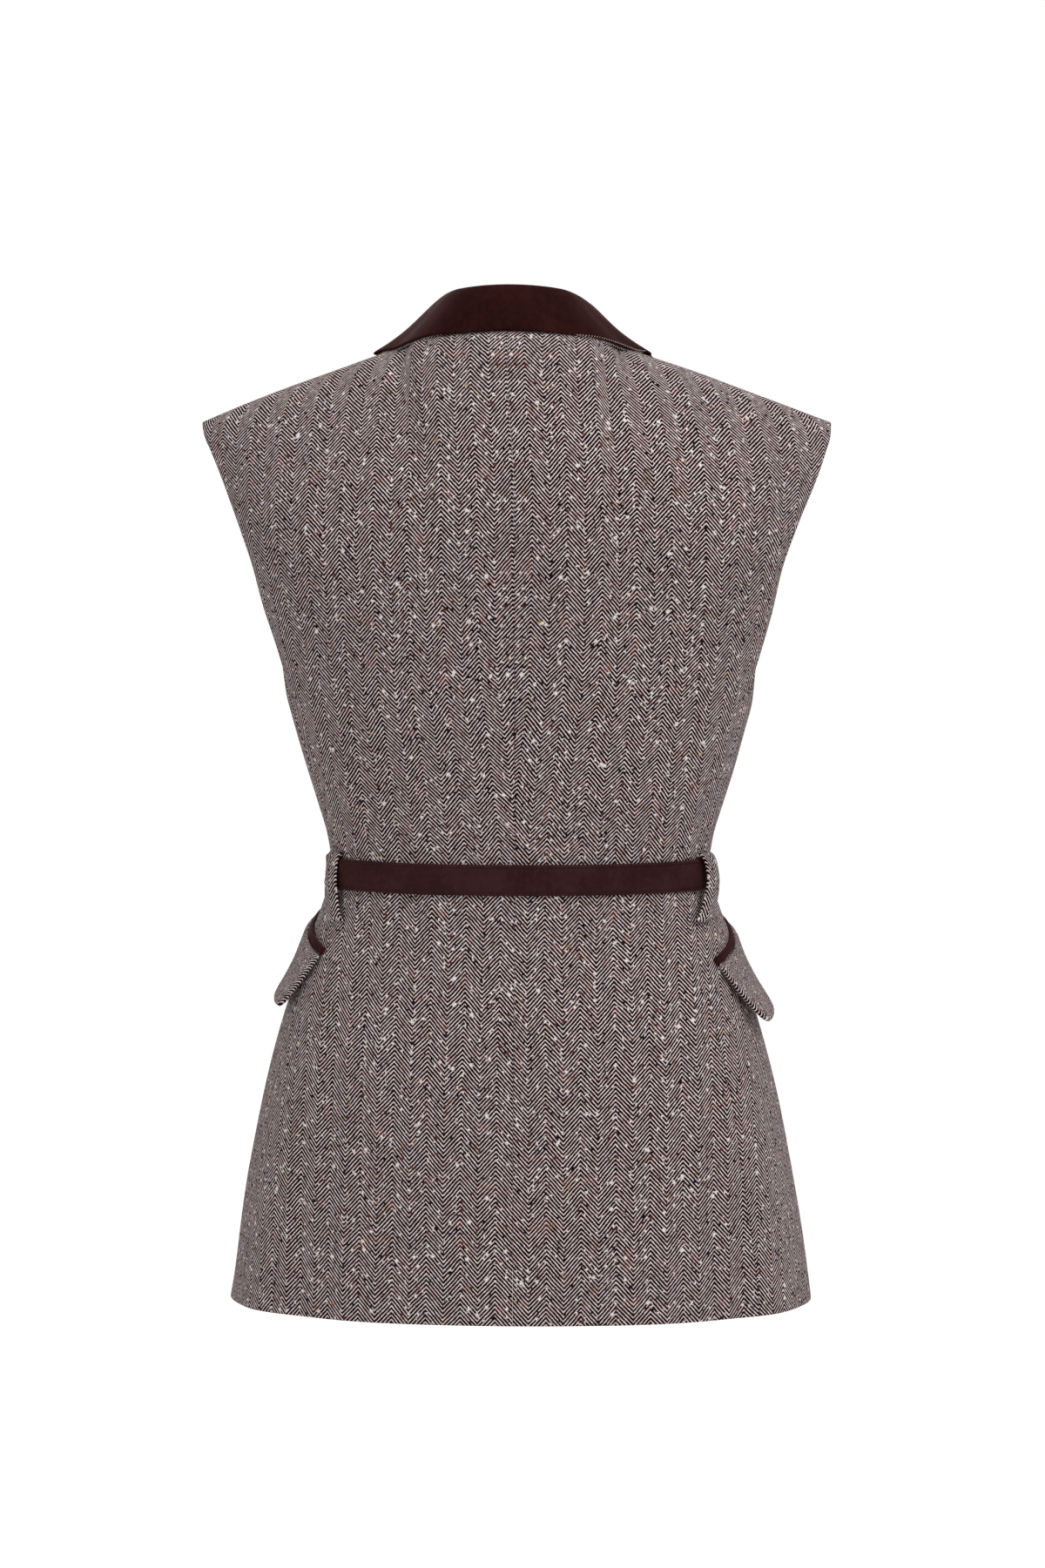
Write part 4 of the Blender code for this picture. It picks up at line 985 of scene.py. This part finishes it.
def sewn(name, lines, pitch, length, thick, thread):
    """A run of stitches along these lines of points, as one mesh."""
    verts = [tuple(point) for line in lines for point in line]
    starts = np.cumsum([0] + [len(line) for line in lines])
    edges = [(int(a) + i, int(a) + i + 1) for a, line in zip(starts, lines) for i in range(len(line) - 1)]
    mesh = bpy.data.meshes.new(name)
    mesh.from_pydata(verts, edges, [])
    run = bpy.data.objects.new(name, mesh)
    bpy.context.scene.collection.objects.link(run)
    modifier = run.modifiers.new("stitches", "NODES")
    modifier.node_group = stitching
    items = stitching.interface.items_tree
    sockets = {item.name: item.identifier for item in items if item.in_out == "INPUT"}
    for label, value in (("Pitch", pitch), ("Length", length), ("Thick", thick), ("Thread", thread)):
        modifier[sockets[label]] = value
    solid = bpy.data.meshes.new_from_object(run.evaluated_get(bpy.context.evaluated_depsgraph_get()))
    run.modifiers.clear()
    run.data = solid
    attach(run, "root")
    return run


def twisted_thread(name, colour, lighter):
    """Waxed thread, its plies a little lighter where they twist up."""
    material, tree, shader = surface(name, 0.6)
    place = node(tree, "ShaderNodeTexCoord").outputs["Object"]
    plies = node(tree, "ShaderNodeTexNoise", place, None, 2400.0, 2.0, 0.6).outputs[0]
    shade = tint(tree, ramp(tree, plies, 0.0, 1.0, 0.40, 0.62), colour, lighter)
    tree.links.new(shade, shader.inputs["Base Color"])
    bump = node(tree, "ShaderNodeBump", 0.4, 0.0002, None, None, plies)
    tree.links.new(bump.outputs[0], shader.inputs["Normal"])
    shader.inputs["Specular IOR Level"].default_value = 0.2
    return material


brown_thread = twisted_thread("brown_thread", (0.030, 0.0070, 0.0068, 1), (0.085, 0.030, 0.028, 1))
rows = []
for edge in (-1, 1):
    turns = np.linspace(-0.975, belt_end - 0.019, 900)
    up = np.full(900, edge * (BELT_WIDTH / 2 - BELT_STITCH_IN))
    rows.append(belt_points(turns, up, np.full(900, BELT_THICK / 2 + 0.00012)))
sewn("belt_stitches", rows, 0.0024, 0.0017, 0.00055, brown_thread)

# the under-collar's hand stitches show as beads below the leather at the sides of the back neck
BEAD_SPANS = {LEFT: (0.058, 0.088), RIGHT: (0.040, 0.086)}
ecru_thread = twisted_thread("ecru_thread", (0.66, 0.55, 0.52, 1), (0.95, 0.86, 0.82, 1))
leather_grid = refined(both_sides([collar_section(station) for station in stations]), 8, 6)
leather_edge, before_edge = leather_grid[:, -1], leather_grid[:, -2]
bead_line = leather_edge + unit(leather_edge - before_edge) * 0.0009 + np.array((0.0, 0.0006, 0.0))
rows = []
for side, (near, far) in BEAD_SPANS.items():
    across = bead_line[:, 0] * side
    rows.append(bead_line[(across > near) & (across < far) & (bead_line[:, 1] > 0.003)])
sewn("under_collar_beads", rows, 0.0022, 0.0012, 0.0010, ecru_thread)

# ---- Belt loops
# Two straps of tweed cut along a chevron of the weave and folded to double thickness. Each is
# tucked under at its top, hangs slack over the belt and is turned under and sewn down below it.

LOOP_WIDTH, LOOP_THICK, LOOP_FOOT = 0.0150, 0.0020, 0.0028
# distance out from the cloth's middle, height, how far it drifts to the centre back
LOOP_RUN = np.array((
    (0.0026, -0.3402, 0.0006), (0.0034, -0.3386, 0.0004), (0.0050, -0.3394, 0.0002), (0.0064, -0.3428, 0.0),
    (0.0074, -0.3496, 0.0), (0.0082, -0.3590, 0.0), (0.0080, -0.3672, 0.0), (0.0072, -0.3736, 0.0),
    (0.0062, -0.3790, 0.0003), (0.0053, -0.3832, 0.0008), (0.0042, -0.3848, 0.0012), (0.0026, -0.3834, 0.0014),
))
LOOPS = {LEFT: (0.1228, 0.84), RIGHT: (0.1246, 1.45)}
loop_shares = np.concatenate((-1 + np.array((0.0, 0.03, 0.09, 0.17)), np.linspace(-0.7, 0.7, 9),
                              1 - np.array((0.17, 0.09, 0.03, 0.0))))
for side, name in ((LEFT, "belt_loop_left"), (RIGHT, "belt_loop_right")):
    half, slack = LOOPS[side]
    run = refined(np.repeat(LOOP_RUN[:, None], 2, axis=1), 9, 1)[:, 0]
    rows = []
    for off, z, drift in run:
        turn = math.asin((half / girth("half_width", z)) ** (girth("back_power", z) / 2)) / math.pi
        ring = Ring(z)
        turns = ring.turn(float(ring.length(turn)) - drift + loop_shares * LOOP_WIDTH / 2)
        out = LOOP_FOOT + (off - LOOP_FOOT) * slack
        rows.append(body_point(turns, z) + body_out(turns, z) * out)
    grid = mirrored(np.array(rows), side)
    uv = plain_uv(grid) * np.array((side, -1.0))
    uv[..., 0] += PEAK + COLUMN - side * LOOP_WIDTH / 2
    puffed = 0.0004 * np.cos(loop_shares * np.pi / 2) - 0.0002 * np.exp(-((loop_shares / 0.12) ** 2))
    puffed = np.tile(puffed, (len(rows), 1))
    piece = cloth_piece(name + "_cloth", grid, uv, (side, 0.4, 0), LOOP_THICK, edge=0.06, raised=puffed)
    hang(piece, name, tweed)

# ---- Pocket welts
# A narrow piping of dark leather along the mouth of each hip pocket, folded over and sewn into
# the seam above its flap. It rises towards the front.

FLAP_THICK, WELT_THICK, WELT_WIDTH = 0.0042, 0.0026, 0.0042
FLAP_START, FLAP_LENGTH, FLAP_RISE = 0.0510, 0.100, 0.0320
FLAP_GAP = 0.0014
# by side: height of the welt's back end, depth, how far the lower edge stands off
FLAPS = {LEFT: (-0.4045, 0.0455, 0.0085), RIGHT: (-0.4105, 0.0495, 0.0125)}


def pocket_points(top, along, down, out):
    """Points on the pocket's own sloping lines, from the back end of its welt."""
    slope = math.atan2(FLAP_RISE, FLAP_LENGTH)
    z = top + along * math.sin(slope) - down * math.cos(slope)
    lengths = along * math.cos(slope) + down * math.sin(slope) - FLAP_START
    turns = np.empty(z.shape)
    for i, height in np.ndenumerate(z):
        ring = Ring(height)
        turns[i] = ring.turn(ring.length(0.5) + lengths[i])
    return body_point(turns, z) + body_out(turns, z) * out[..., None]


def near_edges(count, width, close=(0.0, 0.0002, 0.0006, 0.0012, 0.0021)):
    """Distances across a piece, closer together at its two rounded edges."""
    close = np.array(close)
    between = np.linspace(close[-1], width - close[-1], count + 2)[1:-1]
    return np.concatenate((close, between, width - close[::-1]))


welt_leather = fine_leather("welt_leather", (0.030, 0.0072, 0.0072, 1), (0.048, 0.0150, 0.0150, 1), 0.6)
for side, name in ((LEFT, "flap_welt_left"), (RIGHT, "flap_welt_right")):
    downs = np.linspace(-0.0003, WELT_WIDTH + 0.0005, 13)
    alongs = near_edges(70, FLAP_LENGTH, (0, 0.0002, 0.0005, 0.0013))
    down, along = np.meshgrid(downs, alongs, indexing="ij")
    out = CLOTH / 2 + LAY + WELT_THICK / 2 - 0.0004 + 0.0006 * np.sin(down / WELT_WIDTH * np.pi)
    out = out - 0.0005 * ease((along - 0.015) / 0.02)
    grid = mirrored(pocket_points(FLAPS[side][0], along, down, out), side)
    piece = cloth_piece(name + "_leather", grid, plain_uv(grid), (side, 0, 0), WELT_THICK, edge=0.1)
    fit(piece, name, welt_leather)

# ---- Pocket flaps
# A thick flap of doubled tweed under each welt, turned over a soft interlining so that its
# edges are round. It stands off the hip, and its lower corners are rounded.

FLAP_CORNER = 0.0060
for side, name in ((LEFT, "flap_left"), (RIGHT, "flap_right")):
    top, depth, stands = FLAPS[side]
    first = WELT_WIDTH + FLAP_GAP
    downs = first + near_edges(34, depth - WELT_WIDTH)
    alongs = near_edges(56, FLAP_LENGTH)
    down, along = np.meshgrid(downs, alongs, indexing="ij")
    low = np.clip((down - downs[-1] + FLAP_CORNER) / FLAP_CORNER, 0, 1)
    inset = FLAP_CORNER * (1 - np.sqrt(1 - low**2 * 0.998))
    along = inset + along * (FLAP_LENGTH - 2 * inset) / FLAP_LENGTH
    share = (down - first) / (depth - WELT_WIDTH)
    standing = stands * share**1.9 * (1 - 0.30 * along / FLAP_LENGTH) * (1 - 0.35 * ease(along / 0.055))
    ripple = 0.0007 * np.sin(along / 0.017 + 1.0) * share + 0.0005 * np.sin(down / 0.011 + along / 0.04)
    out = CLOTH / 2 + LAY + FLAP_THICK / 2 + standing + np.maximum(ripple, -0.0002)
    grid = mirrored(pocket_points(top, along, down, out), side)
    vertex = 0.0026 if side == LEFT else -0.0040
    uv = np.stack((side * (along - vertex) * 1.5 + PEAK + COLUMN, -1.45 * down), axis=-1)
    piece = cloth_piece(name + "_cloth", grid, uv, (side, 0, 0), FLAP_THICK, edge=0.03)
    hang(piece, name, tweed)

# ---- Buckle
# A small frame of dark cast metal with rounded bars, and its prong resting across the strap.

BUCKLE_HIGH, BUCKLE_WIDE, BUCKLE_BAR = 0.0236, 0.0200, 0.0036
strap_y = -(girth("front", WAIST_Z) + BELT_OFF + OVERLAP_LIFT + BELT_THICK * 1.5 + LAY + 0.0010)


def swept(name, path, radii, closed):
    """A rod along a path in the buckle's plane, with its radii along and off the plane."""
    path, radii = np.array(path), np.array(radii)
    if closed:
        way = np.roll(path, -1, axis=0) - np.roll(path, 1, axis=0)
    else:
        way = np.gradient(path, axis=0)
    across = unit(np.cross(way, (0.0, 1.0, 0.0)))
    angles = np.linspace(0, 2 * np.pi, 17)[:-1]
    rings = path[:, None] + across[:, None] * (np.cos(angles) * radii[:, :1])[..., None]
    rings = rings + np.array((0.0, 1.0, 0.0)) * (np.sin(angles) * radii[:, 1:])[..., None]
    count, around = rings.shape[:2]
    faces = []
    for i in range(count if closed else count - 1):
        for j in range(around):
            k, l = (i + 1) % count, (j + 1) % around
            faces.append((i * around + j, k * around + j, k * around + l, i * around + l))
    if not closed:
        faces += [tuple(range(around)), tuple(range((count - 1) * around, count * around))]
    mesh = bpy.data.meshes.new(name)
    mesh.from_pydata(rings.reshape(-1, 3).tolist(), [], faces)
    shell = bmesh.new()
    shell.from_mesh(mesh)
    bmesh.ops.recalc_face_normals(shell, faces=shell.faces)
    shell.to_mesh(mesh)
    shell.free()
    mesh.polygons.foreach_set("use_smooth", np.ones(len(mesh.polygons), dtype=bool))
    rod = bpy.data.objects.new(name, mesh)
    bpy.context.scene.collection.objects.link(rod)
    return rod


def antique_metal():
    """Dark plated metal, rubbed brighter in fine scratches."""
    material, tree, shader = surface("antique_metal", 0.34)
    place = node(tree, "ShaderNodeTexCoord").outputs["Object"]
    worn_at = node(tree, "ShaderNodeTexNoise", place, None, 240.0, 4.0, 0.65).outputs[0]
    stretched = node(tree, "ShaderNodeMapping", place, None, None, (1.0, 1.0, 14.0)).outputs[0]
    scratch = node(tree, "ShaderNodeTexNoise", stretched, None, 420.0, 2.0, 0.6).outputs[0]
    tree.links.new(tint(tree, ramp(tree, worn_at, 0.0, 1.0, 0.45, 0.70), (0.055, 0.045, 0.040, 1),
                        (0.26, 0.20, 0.15, 1)), shader.inputs["Base Color"])
    tree.links.new(ramp(tree, scratch, 0.24, 0.50, 0.35, 0.65), shader.inputs["Roughness"])
    bump = node(tree, "ShaderNodeBump", 0.15, 0.0001)
    tree.links.new(scratch, bump.inputs["Height"])
    tree.links.new(bump.outputs[0], shader.inputs["Normal"])
    shader.inputs["Metallic"].default_value = 1.0
    return material


dark_metal = antique_metal()
wide, high, corner = (BUCKLE_WIDE + BUCKLE_BAR) / 2, (BUCKLE_HIGH + BUCKLE_BAR) / 2, 0.0036
frame_path = []
for cx, cz, start in ((1, 1, 0.0), (-1, 1, 0.5), (-1, -1, 1.0), (1, -1, 1.5)):
    for a in np.linspace(start, start + 0.5, 9) * np.pi:
        frame_path.append((cx * (wide - corner) + corner * math.cos(a), strap_y - 0.0022,
                           WAIST_Z + cz * (high - corner) + corner * math.sin(a)))
buckle = swept("buckle_frame_metal", frame_path, [(0.0018, 0.0017)] * len(frame_path), True)
reach = np.linspace(-1, 1, 33)
prong_path = [(BUCKLE_WIDE / 2 * 0.95 * t, strap_y - 0.0016, WAIST_Z) for t in reach]
tip = np.sqrt(np.clip(1 - np.clip((np.abs(reach) - 0.88) / 0.12, 0, 1) ** 2, 0.02, 1))
prong_radii = np.stack((tip * (0.00125 - 0.0003 * reach), tip * 0.0010), axis=-1)
prong = swept("buckle_prong_metal", prong_path, prong_radii, False)
for rod, stands_for in ((buckle, "buckle_frame"), (prong, "buckle_prong")):
    fit(rod, stands_for, dark_metal)

# ---- Buttons
# Two turned horn buttons with a raised rim and four holes, sewn on the closed front above and
# below the belt. The front beneath each has a worked buttonhole.

BUTTON_HEIGHTS = {"button_upper": -0.285, "button_lower": -0.425}
# half the button's outline: radius, height
BUTTON_TURNED = (
    (0.0, 0.0), (0.0088, 0.0), (0.0096, 0.0004), (0.0100, 0.0012), (0.0100, 0.0022), (0.0097, 0.0030),
    (0.0091, 0.0035), (0.0084, 0.0036), (0.0077, 0.0033), (0.0070, 0.0028), (0.0060, 0.0025), (0.0030, 0.0024),
    (0.0, 0.0024),
)


def front_y(z):
    """The outer face of the closed front on its centre line."""
    return -float(girth("front", z) + flute_height(1.0, z) + OVERLAP_LIFT + CLOTH / 2)


def turned_button(name, place):
    """A lathe-turned disc with four holes drilled through it."""
    shell = bmesh.new()
    outline = [shell.verts.new((radius, 0.0, height)) for radius, height in BUTTON_TURNED]
    cut = [shell.edges.new(pair) for pair in zip(outline, outline[1:])]
    bmesh.ops.spin(shell, geom=outline + cut, axis=(0, 0, 1), cent=(0, 0, 0), angle=2 * math.pi, steps=56)
    bmesh.ops.remove_doubles(shell, verts=shell.verts, dist=0.000005)
    bmesh.ops.recalc_face_normals(shell, faces=shell.faces)
    mesh = bpy.data.meshes.new(name)
    shell.to_mesh(mesh)
    shell.free()
    drill = bmesh.new()
    for turn in range(4):
        spot = Matrix.Translation((0.0022 * math.cos(math.pi / 4 + turn * math.pi / 2),
                                   0.0022 * math.sin(math.pi / 4 + turn * math.pi / 2), 0.0015))
        bmesh.ops.create_cone(drill, cap_ends=True, segments=16, radius1=0.0008, radius2=0.0008,
                              depth=0.008, matrix=spot)
    bit_mesh = bpy.data.meshes.new("drill")
    drill.to_mesh(bit_mesh)
    drill.free()
    button, bit = bpy.data.objects.new(name, mesh), bpy.data.objects.new("drill", bit_mesh)
    for thing in (button, bit):
        bpy.context.scene.collection.objects.link(thing)
    holes = button.modifiers.new("holes", "BOOLEAN")
    holes.operation, holes.solver, holes.object = "DIFFERENCE", "EXACT", bit
    drilled = bpy.data.meshes.new_from_object(button.evaluated_get(bpy.context.evaluated_depsgraph_get()))
    button.modifiers.clear()
    bpy.data.objects.remove(bit)
    drilled.transform(place)
    drilled.polygons.foreach_set("use_smooth", np.ones(len(drilled.polygons), dtype=bool))
    drilled.set_sharp_from_angle(angle=math.radians(38))
    button.data = drilled
    return button


def turned_horn():
    """Dark horn: clouded brown with paler streaks, polished."""
    material, tree, shader = surface("turned_horn", 0.28)
    place = node(tree, "ShaderNodeTexCoord").outputs["Object"]
    drawn = node(tree, "ShaderNodeMapping", place, None, (0.3, 0.2, 0.5), (1.0, 1.0, 3.2)).outputs[0]
    cloud = node(tree, "ShaderNodeTexNoise", drawn, None, 110.0, 4.0, 0.6, 1.2).outputs[0]
    fine = node(tree, "ShaderNodeTexNoise", drawn, None, 620.0, 2.0, 0.6).outputs[0]
    streaks = ramp(tree, cloud, 0.0, 1.0, 0.42, 0.66)
    tone = tint(tree, streaks, (0.012, 0.007, 0.005, 1), (0.085, 0.042, 0.022, 1))
    tree.links.new(tint(tree, ramp(tree, fine, 0.0, 0.4, 0.55, 0.75), tone, (0.15, 0.085, 0.05, 1)),
                   shader.inputs["Base Color"])
    tree.links.new(ramp(tree, fine, 0.22, 0.36, 0.3, 0.7), shader.inputs["Roughness"])
    return material


horn = turned_horn()
for name, z in BUTTON_HEIGHTS.items():
    lean = math.atan2(front_y(z + 0.01) - front_y(z - 0.01), 0.02)
    out, up = Vector((0, -math.cos(lean), math.sin(lean))), Vector((0, math.sin(lean), math.cos(lean)))
    base = Vector((0, front_y(z), z)) + out * LAY
    place = Matrix.Translation(base) @ Matrix((Vector((1, 0, 0)), up, out)).transposed().to_4x4()
    button = turned_button(name + "_horn", place)
    fit(button, name, horn)
    lines = []
    for x in (-0.00155, 0.00155):
        lines.append([place @ Vector((x, 0.0017 * t, 0.0026)) for t in np.linspace(-1, 1, 5)])
    sewn(name + "_thread", lines, 0.00055, 0.0011, 0.0007, brown_thread)
    slit = []
    for edge in (-1, 1):
        high = z + edge * 0.0011
        slit.append([(x, front_y(high) - 0.00012, high) for x in np.linspace(-0.0130, 0.0130, 30)])
    sewn(name + "_hole_stitches", slit, 0.0006, 0.0007, 0.0016, brown_thread)

# ---- Studio
# A pale plain floor and backdrop, large soft lights and the camera behind the wearer.

FLOOR_Z = -1.25
FLOOR_RINGS = (0.0, 1.0, 3.0, 8.0, 20.0)


def stage():
    """A wide round floor, evenly bright to the camera, that runs out into the pale backdrop."""
    turns = np.linspace(0, 2 * np.pi, 49)[:-1]
    verts = [(0.0, 0.0, FLOOR_Z)]
    verts += [(r * math.cos(a), r * math.sin(a), FLOOR_Z) for r in FLOOR_RINGS[1:] for a in turns]
    faces = [(0, 1 + i, 1 + (i + 1) % 48) for i in range(48)]
    for ring in range(len(FLOOR_RINGS) - 2):
        a, b = 1 + 48 * ring, 49 + 48 * ring
        faces += [(a + i, b + i, b + (i + 1) % 48, a + (i + 1) % 48) for i in range(48)]
    mesh = bpy.data.meshes.new("floor")
    mesh.from_pydata(verts, [], faces)
    floor = bpy.data.objects.new("floor", mesh)
    bpy.context.scene.collection.objects.link(floor)
    material, tree, shader = surface("pale_floor", 0.9)
    shader.inputs["Base Color"].default_value = (0.90, 0.90, 0.90, 1)
    shader.inputs["Emission Color"].default_value = (1, 1, 1, 1)
    seen = node(tree, "ShaderNodeLightPath").outputs["Is Camera Ray"]
    tree.links.new(sums(tree, "MULTIPLY", seen, 0.70), shader.inputs["Emission Strength"])
    mesh.materials.append(material)


def softbox(name, place, aim, size, power):
    lamp = bpy.data.lights.new(name, "AREA")
    lamp.shape, lamp.size, lamp.size_y, lamp.energy = "RECTANGLE", size[0], size[1], power
    thing = bpy.data.objects.new(name, lamp)
    thing.location = place
    thing.rotation_euler = (Vector(aim) - Vector(place)).to_track_quat("-Z", "Y").to_euler()
    bpy.context.scene.collection.objects.link(thing)


stage()
softbox("key", (-2.1, 2.5, 2.3), (0, 0, -0.28), (1.8, 1.8), 50)
softbox("fill", (2.2, 2.4, 0.5), (0, 0, -0.3), (1.6, 2.0), 9)
softbox("top", (0.0, 0.3, 2.4), (0, 0, 0), (2.2, 2.2), 16)
softbox("front_light", (0.3, -2.0, 0.8), (0, 0, -0.3), (2.0, 2.0), 18)
world = bpy.data.worlds.new("studio")
world.use_nodes = True
backdrop = world.node_tree.nodes["Background"]
backdrop.inputs[0].default_value = (1, 1, 1, 1)
seen = node(world.node_tree, "ShaderNodeLightPath").outputs["Is Camera Ray"]
world.node_tree.links.new(sums(world.node_tree, "MAXIMUM", seen, 0.36), backdrop.inputs[1])
bpy.context.scene.world = world

PITCH, TURN, FAR = math.radians(4.2), math.radians(2.4), 4.0
AIM_X = -0.0015
SENSOR, FOCAL, TALL = 36, 6667, 1801  # sensor in mm; focal length and picture height in pixels
camera = bpy.data.objects.new("camera", bpy.data.cameras.new("camera"))
camera.data.sensor_width = SENSOR
camera.data.lens = SENSOR * FOCAL / TALL
camera.data.clip_end = 100
camera.location = (AIM_X - FAR * math.sin(TURN), FAR * math.cos(TURN), 0.0)
way = Vector((math.sin(TURN) * math.cos(PITCH), -math.cos(TURN) * math.cos(PITCH), -math.sin(PITCH)))
camera.rotation_euler = way.to_track_quat("-Z", "Y").to_euler()
bpy.context.scene.collection.objects.link(camera)
bpy.context.scene.camera = camera
bpy.context.scene.view_settings.view_transform = "Standard"
